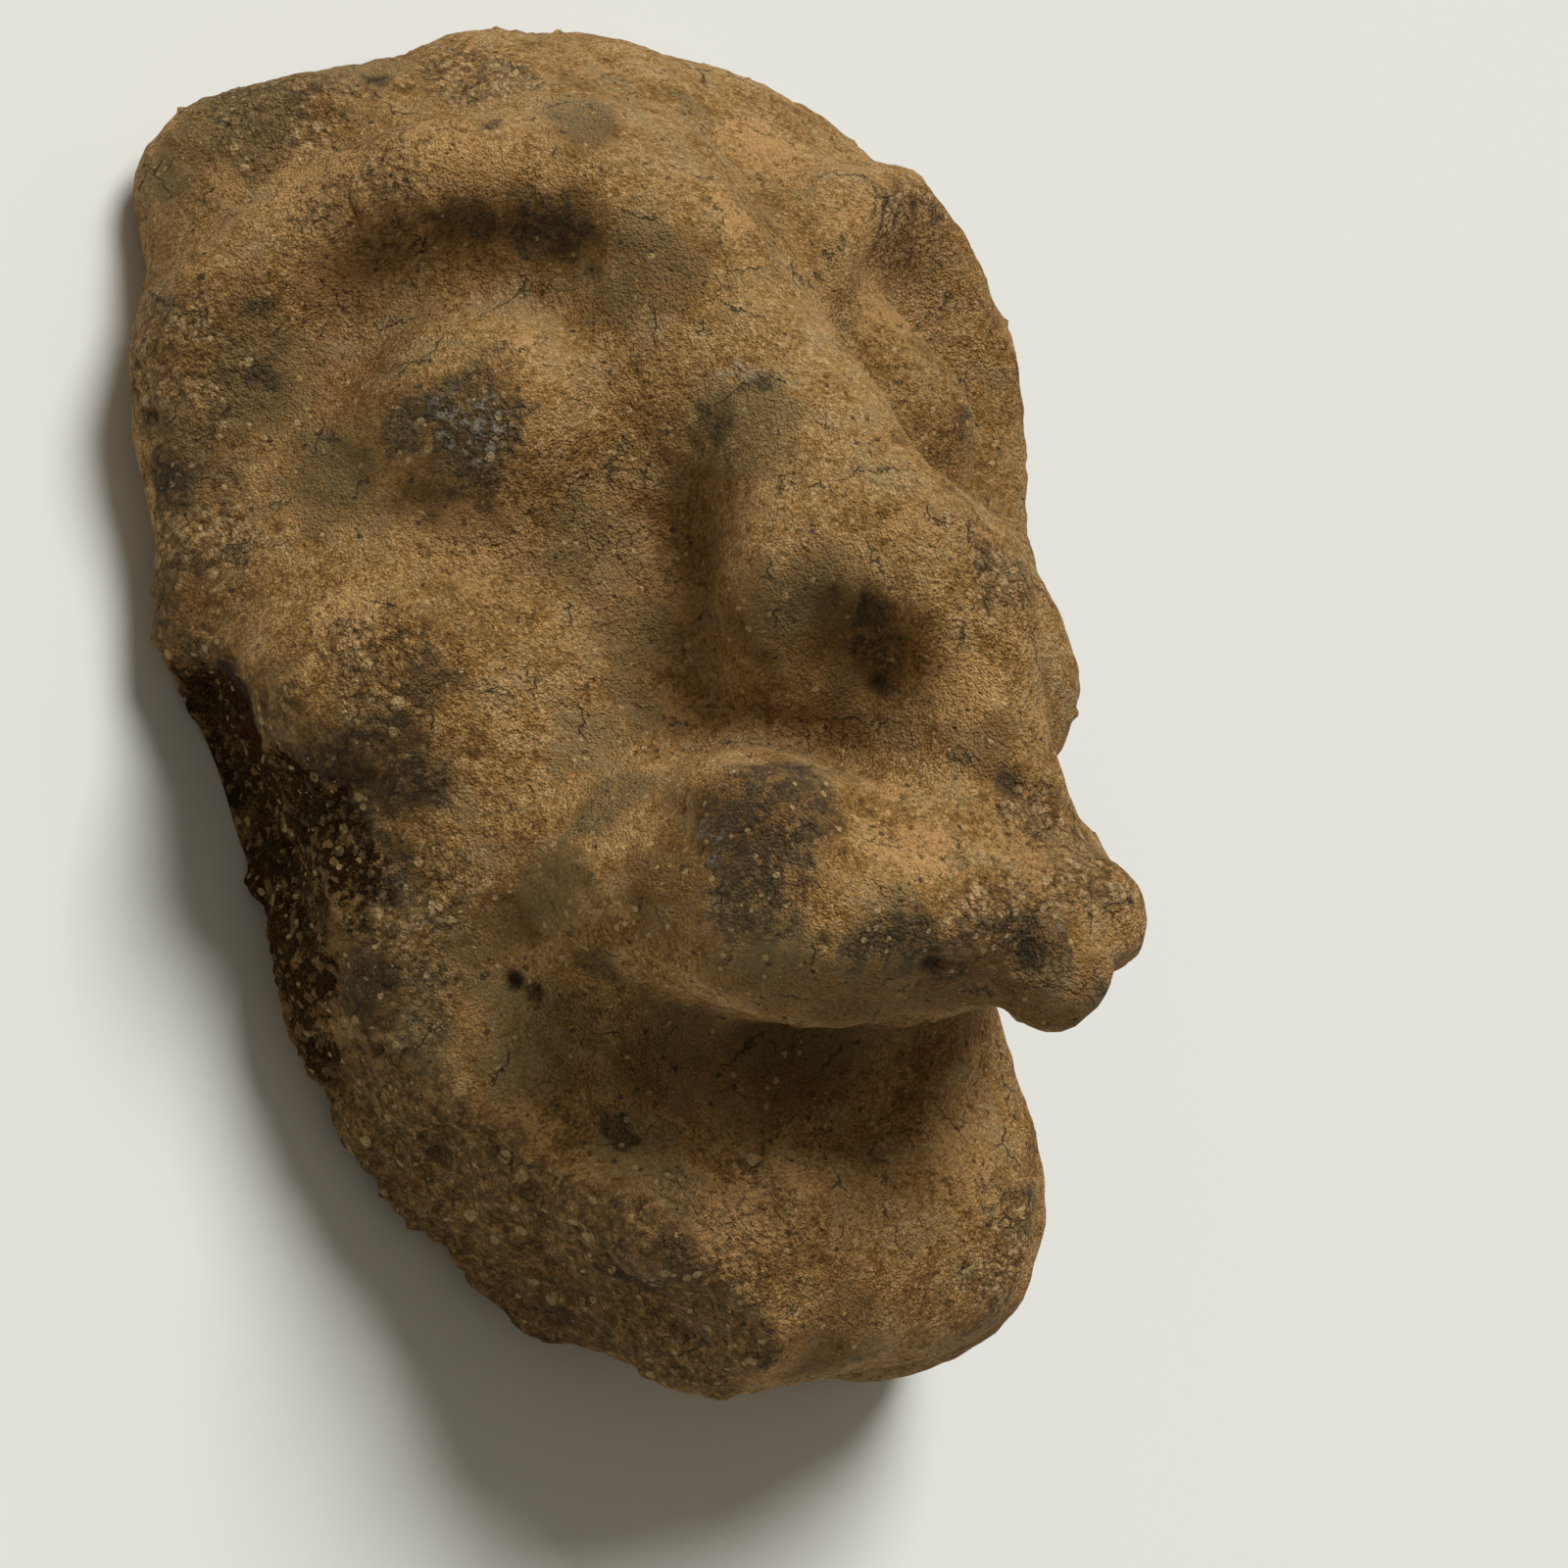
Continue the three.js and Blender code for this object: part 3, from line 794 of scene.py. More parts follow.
STAINS: dict[StainKind, tuple[Stain, ...]] = {
    StainKind.SOOT: (
        Stain("under the left brow", (-20, 43, 30), 4),
        Stain("under the brow's head", (-15, 41, 33), 4),
        Stain("tail of the left brow", (-38, 38, 18), 2),
        Stain("left side of the left eye", (-31, 23, 28), 2.5),
        Stain("middle of the left eye", (-27, 22, 33), 4.8),
        Stain("foot of the left eye", (-27, 18, 33), 2.6),
        Stain("flank of the bridge", (-7, 19, 42), 1.8),
        Stain("top of the bridge", (-5, 21, 46), 1.6),
        Stain("nose ball", (-3, -1, 53), 2.4),
        Stain("nostril", (-1, -4, 52), 2.8),
        Stain("under the nostril", (1, -6, 51), 2),
        Stain("nose tip", (10, 2, 58), 1.8),
        Stain("spot on the left cheek", (-38, 0, 29), 1.2),
        Stain("left cheek", (-33, -1, 30), 2.8),
        Stain("edge of the left cheek", (-37, -5, 27), 2.6),
        # The next four stand partly for soot and partly for painted shade, where the lower left
        # cheek and the break turn from the light.
        Stain("under the left cheek", (-34, -9, 26), 3),
        Stain("outer left cheek", (-39, -8, 20), 5),
        Stain("edge of the break", (-36, -15, 20), 4.5),
        Stain("edge of the break, lower", (-36, -24, 17), 4.5),
        Stain("lip lobe", (-17, -18, 53), 6),
        Stain("front of the lip lobe", (-19, -23, 53), 5.5),
        Stain("top of the lip lobe", (-15, -15, 53), 3.5),
        Stain("lip edge, between", (-1, -32, 60), 2.6),
        Stain("lip edge, farther left", (-8, -31, 58), 2.6),
        Stain("lip edge, right", (6, -33, 61), 2.4),
        Stain("underside of the tip", (12, -37, 59), 2.4),
        Stain("upper side of the left eye", (-25, 26, 34), 2.6),
        Stain("front of the lip, low", (-4, -33, 58), 3),
        Stain("lip lobe, right", (-12, -20, 55), 2),
        Stain("lip lobe, left", (-20, -20, 51), 2),
        Stain("lip edge, left", (-5, -32, 59), 1.8),
        Stain("lip edge, middle", (2, -32, 61), 2.3),
        Stain("corner of the mouth", (-25, -28, 35), 2.2),
        Stain("hole at the corner of the mouth", (-27, -28, 27), 1.2),
        Stain("chin, upper left", (-21, -42, 29), 1.8),
        Stain("chin, left", (-21, -49, 31), 2),
        Stain("chin, lower left", (-19, -54, 34), 2),
        Stain("chin, edge", (-21, -55, 26), 2.6),
        Stain("jaw, outer", (-31, -40, 15), 1.4),
        Stain("foot of the jaw", (-19, -55, 11), 2),
        Stain("right edge of the chin", (21, -53, 33), 2),
        Stain("left temple", (-36, 32, 17), 1.6),
        # Partly soot and partly painted shade, on the left edge turned from the light.
        Stain("left edge", (-44, 24, 9), 3),
        Stain("lip edge, left of the middle", (-12, -31, 57), 2.4),
        Stain("foot of the chin", (4, -66, 28), 1.6),
        Stain("crown, left", (-21, 59, 19), 1.6),
        Stain("crown", (-12, 59, 23), 0.8),
        Stain("forehead under the crown", (-17, 51, 32), 1.4),
        Stain("right brow", (25, 42, 34), 1.6),
        Stain("head of the right brow", (31, 44, 33), 1.5),
        Stain("right eye", (30, 21, 35), 2),
    ),
    StainKind.SMOKE: (
        Stain("upper left rim", (-33, 58, 14), 6.5),
        Stain("upper left corner", (-38, 55, 9), 4),
        Stain("rim left of the crown", (-22, 62, 16), 5),
        Stain("forehead under the crown", (-8, 52, 33), 4),
        Stain("forehead, right", (10, 56, 27), 2.5),
        Stain("root of the nose", (-9, 37, 40), 3),
        Stain("beside the left eye", (-11, 32, 37), 2.8),
        Stain("top of the left eye", (-28, 23, 33), 3.5),
        Stain("cheek by the nose", (-16, 10, 33), 4.5),
        Stain("cheek by the nose, lower", (-13, 2, 34), 3.5),
        Stain("fold by the nose", (-14, -5, 34), 3),
        Stain("over the mouth", (-27, -19, 34), 4),
        Stain("corner of the mouth", (-31, -24, 25), 3.5),
        Stain("under the mouth", (-27, -33, 26), 5),
        Stain("jaw", (-35, -31, 20), 4),
        Stain("mouth hollow", (-9, -37, 33), 5),
        Stain("mouth hollow, left", (-15, -34, 33), 3.6),
        Stain("mouth hollow, right", (-1, -37, 36), 4.5),
        Stain("chin, upper left", (-21, -44, 31), 4),
        Stain("foot of the chin", (-17, -58, 29), 4),
        Stain("bridge", (-6, 18, 45), 5),
        Stain("cheek over the mouth", (-22, -13, 38), 3.5),
        Stain("cheek by the lip lobe", (-20, -8, 33), 3),
        Stain("front of the lip, left", (-20, -28, 54), 4),
        Stain("front of the lip", (-11, -31, 58), 4),
        Stain("chin, left", (-20, -49, 33), 4),
        Stain("left of the left eye", (-34, 20, 21), 5),
        Stain("left temple", (-37, 31, 16), 5),
        Stain("side of the nose ball", (-6, 1, 52), 4),
        Stain("right cheek", (35, -4, 33), 2.5),
        Stain("right temple", (44, 28, 25), 2),
    ),
    # Yellow-brown marks: partly the clay's own lighter tone, partly painted light where the clay
    # lies in shade, as under the left brow, on the lid, the jaw and the chin.
    StainKind.OCHRE_AND_PAINTED_LIGHT: (
        Stain("crest of the left brow", (-24, 46, 31), 2.7),
        Stain("crest of the left brow, left", (-31, 45, 25), 2.6),
        Stain("crest of the left brow, right", (-14, 45, 36), 2),
        Stain("underside of the left brow", (-27, 44, 28), 6),
        Stain("lit side of the left brow", (-20, 47, 33), 4),
        Stain("forehead, far left", (-30, 46, 24), 5),
        Stain("far socket", (24, 33, 32), 4),
        Stain("fold by the nose, upper", (-12, 9, 34), 4),
        Stain("chin, left of the middle", (-18, -49, 34), 4),
        Stain("left flank of the nose", (-4, 3, 54), 2.4),
        Stain("rim left of the crown", (-23, 60, 18), 3),
        Stain("right brow, outer", (32, 41, 30), 4),
        Stain("lid of the left eye, left", (-29, 14, 28), 3),
        Stain("over the left brow", (-32, 48, 22), 4),
        Stain("under the left eye", (-25, 13, 31), 3),
        Stain("jaw", (-29, -40, 22), 4),
        Stain("lid of the left eye", (-26, 14, 31), 3),
        Stain("far side of the right brow", (22, 41, 36), 3),
        Stain("underside of the left brow, left", (-31, 40, 22), 3),
        Stain("between the right brow and the eye", (27, 36, 31), 3.5),
        Stain("forehead, right", (17, 50, 28), 5),
        Stain("forehead, middle", (0, 39, 41), 2.7),
        Stain("forehead, left", (-22, 51, 30), 3),
        Stain("left temple, upper", (-31, 50, 20), 3.6),
        Stain("left temple, edge", (-35, 50, 14), 2.5),
        Stain("under the tail of the left brow", (-33, 39, 20), 2.5),
        Stain("left temple", (-42, 30, 14), 3),
        Stain("upper side of the left eye", (-20, 29, 35), 2),
        Stain("left cheek", (-37, 8, 25), 3.2),
        Stain("cheek under the eye", (-27, 9, 30), 2.7),
        Stain("fold by the nose", (-8, 3, 36), 2.4),
        Stain("fold over the lip", (-11, -4, 36), 1.8),
        Stain("under the nose", (-4, -8, 45), 2.6),
        Stain("foot of the nose", (5, -9, 56), 3.8),
        Stain("top of the nose ball", (1, 6, 57), 2.2),
        Stain("right of the nose ball", (11, -3, 57), 2),
        Stain("over the right eye", (15, 30, 36), 2.2),
        Stain("muzzle, left", (-18, -24, 54), 2.7),
        Stain("muzzle, top", (-3, -17, 52), 2.5),
        Stain("muzzle, front", (-6, -23, 58), 4),
        Stain("muzzle, right", (6, -25, 59), 3.4),
        Stain("chin, left", (-15, -51, 35), 4),
        Stain("chin, middle", (-8, -48, 35), 2.7),
        Stain("chin, right", (12, -49, 35), 4.5),
        Stain("jaw, lower", (-27, -47, 12), 3),
        Stain("jaw, edge", (-24, -51, 19), 2.7),
        Stain("foot of the chin", (-8, -64, 30), 2.2),
    ),
    # Dark brown marks: partly darker clay, partly painted shade in creases, under the nose, the
    # lips and the chin, and on the left side turned from the light.
    StainKind.UMBER_AND_PAINTED_SHADE: (
        Stain("groove over the lip lobe", (-22, -14, 38), 4),
        Stain("left flank of the nose ball", (-6, 0, 50), 4.5),
        Stain("lip lobe", (-17, -20, 53), 6),
        Stain("hanging lobe", (9, -38, 59), 4),
        Stain("left of the lip lobe", (-24, -20, 45), 3),
        Stain("under the lip lobe", (-21, -30, 51), 5),
        Stain("front of the lip, left", (-17, -33, 52), 5),
        Stain("front of the lip, low", (-11, -35, 52), 5),
        Stain("front of the lip, middle", (-3, -36, 54), 5),
        Stain("front of the lip, right", (3, -37, 58), 4),
        Stain("corner of the lip", (-24, -25, 46), 4),
        Stain("wing of the nose", (-8, 0, 49), 5),
        Stain("under the nose ball", (-3, -4, 49), 4),
        Stain("left of the left eye", (-34, 21, 21), 5),
        Stain("left temple", (-37, 30, 16), 3.5),
        Stain("left edge, upper", (-42, 26, 12), 5),
        Stain("left edge, lower", (-45, 14, 8), 3.5),
        Stain("corner of the mouth", (-28, -22, 29), 3),
        Stain("edge of the left cheek", (-40, -6, 22), 4),
        Stain("foot of the nose", (6, -15, 56), 3.5),
        Stain("jaw, low", (-18, -57, 19), 5),
        Stain("under the left eye", (-30, 17, 28), 3),
        Stain("head of the left brow", (-14, 40, 36), 3.5),
        Stain("root of the nose", (-8, 34, 41), 4),
        Stain("underside of the chin", (-4, -63, 32), 5),
        Stain("mouth hollow", (-5, -36, 35), 6),
        Stain("mouth hollow, left", (-17, -35, 32), 5),
        Stain("forehead, left", (-9, 50, 35), 4),
        Stain("front of the lip", (-9, -32, 57), 4),
    ),
    # Sheen: light spots painted as glints, a painted highlight, where the clay is also less rough.
    StainKind.SHEEN: (
        Stain("left eye", (-27, 22, 33), 3),
        Stain("bridge", (-5, 24, 45), 2),
        Stain("bridge, lower", (-7, 17, 43), 1),
        Stain("lip lobe", (-21, -20, 50), 2.4),
        Stain("lip", (6, -31, 61), 1.8),
        Stain("left cheek", (-31, -10, 28), 1.2),
    ),
    # Pits are real dents in the relief; their dark colour is painted shade.
    StainKind.PIT: (
        Stain("nostril slit", (0, -7, 50), 0.8),
        Stain("lip", (-6, -34, 58), 1.2),
        Stain("lip, middle", (3, -34, 60), 1.4),
        Stain("lip, left", (-16, -30, 56), 0.6),
        Stain("crown", (-21, 60, 20), 0.8),
        Stain("crown, right", (-13, 59, 24), 0.7),
        Stain("muzzle top", (7, -18, 57), 1.3),
        Stain("corner of the mouth", (-28, -27, 27), 0.8),
        Stain("bridge", (-3, 32, 44), 0.7),
        Stain("left edge", (-45, 30, 9), 0.9),
        Stain("chin, right", (5, -40, 36), 0.8),
    ),
    StainKind.NOTCH: (
        Stain("top of the break", (-42, 4, 10), 2.5),
        Stain("under the top of the break", (-40, 1, 9), 3),
    ),
    # The break laid near black: burnt dark clay in part, and in part painted shadow over the broken
    # side.
    StainKind.CHAR_AND_PAINTED_SHADOW: (
        Stain("top", (-41, 4, 5), 4),
        Stain("foot of the upper part", (-38, -2, 2), 4),
        Stain("upper part", (-39, -3, 8), 5),
        Stain("edge under the cheek", (-39, -8, 16), 5.5),
        Stain("middle", (-38, -12, 7), 6),
        Stain("edge, middle", (-37, -15, 17), 4.5),
        Stain("lower part", (-39, -21, 9), 6),
        Stain("lowest part", (-38, -29, 7), 3.5),
    ),
    StainKind.ROUGH: (
        Stain("left cheek", (-37, 1, 27), 6),
        Stain("under the left cheek", (-37, -8, 23), 7),
        Stain("edge of the break", (-35, -18, 22), 6),
        Stain("edge of the break, lower", (-36, -28, 18), 6),
        Stain("jaw", (-30, -40, 16), 6),
        Stain("foot of the jaw", (-20, -56, 18), 7),
        Stain("left edge", (-44, 18, 9), 8),
        Stain("left temple", (-42, 33, 12), 7),
        Stain("crest of the left brow", (-29, 45, 27), 5),
        Stain("upper left rim", (-30, 58, 16), 7),
        Stain("crown", (-12, 60, 22), 6),
        Stain("left eye", (-27, 22, 33), 5),
        Stain("lip", (0, -30, 60), 6),
        Stain("muzzle, right", (10, -24, 60), 7),
        Stain("chin, left", (-16, -52, 34), 7),
        Stain("chin, right", (18, -58, 31), 7),
        Stain("right brow", (30, 42, 32), 6),
        Stain("nose tip", (11, 0, 57), 4),
    ),
}


@dataclass(frozen=True)
class Marks:
    """Works out where each kind of mark is, and where the clay is broken or hollow."""

    shape: HeadShape
    wander: float = 1.5
    slow_hills: tuple[Hills, ...] = tuple(Hills(7, seed) for seed in (11, 12, 13))
    fine_wander: float = 1.5
    fast_hills: tuple[Hills, ...] = tuple(Hills(2.4, seed) for seed in (14, 15, 16))
    core: float = 0.3
    fringe: float = 1.7
    hollow_reach: float = 5
    hollow_level: float = 1.15
    break_hills: tuple[tuple[float, Hills], ...] = ((1.3, Hills(6, 21)), (0.7, Hills(2.6, 22)))
    break_start: float = -3.2
    break_full: float = -0.9

    def warped(self, points: Array) -> Array:
        """Points moved by slow and fine hills, so that the edges of marks wander.

        Args:
            points: Places, shape (..., 3).

        Returns:
            The moved points.
        """
        slow = np.stack([hills.at(points) for hills in self.slow_hills], -1)
        fast = np.stack([hills.at(points) for hills in self.fast_hills], -1)
        return points + self.wander * slow + self.fine_wander * fast

    def stained(self, kind: StainKind, points: Array) -> Array:
        """How much of one kind of mark each point has.

        For each mark, the distance over its radius steps smoothly from 1 in its core to 0 at
        its fringe. The most over the marks counts.

        Args:
            kind: The kind of mark.
            points: Warped points.

        Returns:
            Numbers from 0 to 1.
        """
        found = np.zeros(points.shape[:-1])
        for stain in STAINS[kind]:
            gap = np.linalg.norm(points - np.array(stain.place), axis=-1) / stain.radius
            found = np.maximum(found, ease(self.fringe, self.core, gap))
        return found

    def broken(self, points: Array) -> Array:
        """1 on the cuts of the break, falling to 0 a little way off, with a wandering edge.

        Args:
            points: Places, shape (..., 3).

        Returns:
            Numbers from 0 to 1.
        """
        cuts = (SIDE_BREAK, BREAK_HOLLOW, JAW_BREAK)
        level = np.max([-cut.distance(points) for cut in cuts], axis=0)
        wander = sum(height * hills.at(points) for height, hills in self.break_hills)
        return ease(self.break_start, self.break_full, level + wander)

    def hollow(self, points: Array, normals: Array) -> Array:
        """1 in deep hollows, where painted shade is laid: the hollow level less the distance after
        a step out, in steps.
        """
        gained = self.shape.distance(points + self.hollow_reach * normals) / self.hollow_reach
        return np.clip(self.hollow_level - gained, 0, 1)


@dataclass(frozen=True)
class Swell:
    """A low rise of the surface, or a sink where its height is below zero."""

    name: str
    place: Triple
    radius: float
    height: float

    def at(self, points: Array) -> Array:
        """Height times the smooth step from the radius in to the place."""
        gap = np.linalg.norm(points - np.array(self.place), axis=-1)
        return self.height * ease(self.radius, 0, gap)


SWELLS = (
    Swell("edge under the upper left corner", (-42, 42, 8), 11, 1.3),
    Swell("upper left corner", (-40, 52, 7), 8, -0.9),
    Swell("crest of the left brow", (-25, 46, 30), 7, 0.6),
    Swell("lip lobe", (-17, -19, 53), 7.5, 1.6),
    Swell("hollow right of the lip lobe", (-8, -20, 56), 6, -0.8),
    Swell("edge of the lip", (-2, -31, 59), 5, 0.5),
    Swell("under the edge of the lip", (-3, -35, 56), 5, -0.8),
    Swell("crease left of the lip lobe", (-23, -17, 46), 4, -1.5),
    Swell("crease over the lip lobe", (-14, -13, 49), 4.5, -1.4),
    Swell("underside of the tip", (14, -38, 57), 6, -1.8),
    Swell("right edge of the chin", (24, -60, 29), 8, -1.8),
    Swell("nose wing", (-9, -2, 47), 6, 0.8),
    Swell("nostril", (0, -6, 51), 4, -0.9),
    Swell("groove of the chin", (-1, -53, 36), 5, -0.5),
    Swell("left of the groove", (-11, -51, 36), 7, 0.5),
    Swell("fold by the nose", (-13, -10, 39), 5, -0.6),
    Swell("top of the right brow", (27, 48, 30), 9, -1.1),
)


@dataclass(frozen=True)
class Relief:
    """Low relief of the hand, the grit and the break, over the form of the solid."""

    hills: tuple[tuple[float, Hills], ...] = (
        (0.34, Hills(11, 31)), (0.26, Hills(5, 32)), (0.2, Hills(2.3, 33)), (0.12, Hills(1.2, 34)),
    )
    grit: float = 0.4
    grit_grains: Grains = Grains(2.6, 0.75, 0.45, 40)
    pock: float = 0.55
    pock_grains: Grains = Grains(3.6, 0.85, 0.55, 50)
    break_step: float = 1.2
    break_steps: Hills = Hills(6, 35)
    break_ridges: tuple[tuple[float, Hills], ...] = ((0.5, Hills(3, 36)), (0.22, Hills(1.5, 37)))
    pit: float = 0.9
    fade: float = 1.5
    swells: tuple[Swell, ...] = SWELLS

    def depth(self, points: Array, broken: Array, pits: Array) -> Array:
        """Height of the relief over the surface.

        Hills of several sizes are added with raised grains, sunk pocks and the swells. On the
        break, hills and ridged hills, 0.5 - 2|h|, are added. All of it fades out at the flat back.

        Args:
            points: Surface points.
            broken: Where the clay is broken.
            pits: Where there are single pits.

        Returns:
            Heights in millimetres.
        """
        skin = sum(height * hills.at(points) for height, hills in self.hills)
        skin += self.grit * self.grit_grains.at(points)
        skin -= self.pock * self.pock_grains.at(points)
        rough = self.break_step * self.break_steps.at(points)
        for height, hills in self.break_ridges:
            rough += height * (0.5 - 2 * np.abs(hills.at(points)))
        found = skin + broken * rough - self.pit * pits
        found += sum(swell.at(points) for swell in self.swells)
        return found * ease(0, self.fade, points[..., 2])


@dataclass
class ClayHead:
    """The clay head: its surface grid, its relief, its marks and its flat back."""

    shape: HeadShape = field(default_factory=HeadShape)
    relief: Relief = field(default_factory=Relief)
    divide: int = 4
    rounds: int = 6
    back_rings: tuple[float, ...] = (0.93, 0.84, 0.72, 0.58, 0.42, 0.24, 0.1)
    back_hollow: float = 0.5
    back_hills: Hills = Hills(16, 61)
    back_level: float = 0.25
    sharp: float = 58

    def front(self) -> tuple[Array, dict[str, Array]]:
        """The face and flanks with their relief, and the marks on them.

        Returns:
            Grid points in millimetres, and a grid of numbers for each attribute.
        """
        points = Wrap(self.shape).fine(self.divide, self.rounds)
        normals = self.shape.normals(points)
        marks = Marks(self.shape)
        warped = marks.warped(points)
        found = {kind.value: marks.stained(kind, warped) for kind in StainKind}
        found["pit"] = marks.stained(StainKind.PIT, points)
        found["broken"] = marks.broken(points)
        found["hollow"] = marks.hollow(points, normals)
        depth = self.relief.depth(points, found["broken"], found["pit"])
        return points + normals * depth[..., None], found

    def back(self, rim: Array) -> Array:
        """Rings of points over the flat back, hollowed a little between rim and middle.

        A ring is the rim drawn towards its middle by the ring's share. Its height is the back's
        hollow times the slow hills plus a level, at least 0, times 4 * share * (1 - share).

        Args:
            rim: The rim in order round the back, shape (count, 3).

        Returns:
            Points, shape (rings, count, 3).
        """
        middle = rim.mean(axis=0)
        share = np.array(self.back_rings)[:, None, None]
        rings = middle + share * (rim - middle)
        height = np.maximum(self.back_hills.at(rings) + self.back_level, 0) * self.back_hollow
        rings[..., 2] = height * 4 * (share * (1 - share))[..., 0]
        return rings

    def fitted(self, points: Array) -> Array:
        """Points in metres, drawn in by a hair where the relief stands out of the CAD box.

        Along each axis, the place between the lowest and highest point is kept as a share of
        the node's box.

        Args:
            points: Points in millimetres, shape (count, 3).

        Returns:
            The same points in metres.
        """
        low, high = (np.array(corner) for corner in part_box(NODE))
        metres = (points - np.array([*ORIGIN, 0])) * METRES
        least, most = metres.min(axis=0), metres.max(axis=0)
        return low + (metres - least) / (most - least) * (high - low)

    def build(self) -> bpy.types.Object:
        """Makes the closed mesh with its attributes.

        The grid's cells are its faces. The rim is joined to the rings of the back, and the last
        ring to the middle.

        Returns:
            The object, in the scene.
        """
        grid, marks = self.front()
        count = len(grid)
        number = np.arange(count * count).reshape(count, count)
        cells = [number[:-1, :-1], number[:-1, 1:], number[1:, 1:], number[1:, :-1]]
        faces = [np.stack(cells, -1).reshape(-1, 4)]
        sides = [number[0, :-1], number[:-1, -1], number[-1, :0:-1], number[:0:-1, 0]]
        rim = np.concatenate(sides)
        rings = self.back(grid.reshape(-1, 3)[rim])
        extra = count * count + np.arange(rings.shape[0] * rings.shape[1])
        loops = [rim, *extra.reshape(rings.shape[:2])]
        for outer, inner in zip(loops[:-1], loops[1:]):
            strip = [np.roll(outer, -1), outer, inner, np.roll(inner, -1)]
            faces.append(np.stack(strip, -1))
        hub = len(extra) + count * count
        fan = np.stack([np.roll(loops[-1], -1), loops[-1], np.full(len(rim), hub)], -1)
        middle = np.array([[*rings[-1].mean(axis=0)]])
        points = self.fitted(np.concatenate([grid.reshape(-1, 3), rings.reshape(-1, 3), middle]))
        mesh = bpy.data.meshes.new("head_clay")
        quads = np.concatenate(faces)
        mesh.from_pydata(points.tolist(), [], quads.tolist() + fan.tolist())
        for name, values in marks.items():
            self.store(mesh, name, values.reshape(-1))
        mesh.validate()
        mesh.shade_smooth()
        mesh.set_sharp_from_angle(angle=math.radians(self.sharp))
        piece = bpy.data.objects.new("head_clay", mesh)
        bpy.context.scene.collection.objects.link(piece)
        return piece

    def store(self, mesh: bpy.types.Mesh, name: str, values: Array) -> None:
        """Writes numbers to a vertex attribute, with 0 for the points of the back.

        Args:
            mesh: The mesh.
            name: Name of the attribute.
            values: One number for each point of the grid.
        """
        whole = np.zeros(len(mesh.vertices), np.float32)
        whole[: len(values)] = values
        mesh.attributes.new(name, "FLOAT", "POINT").data.foreach_set("value", whole)


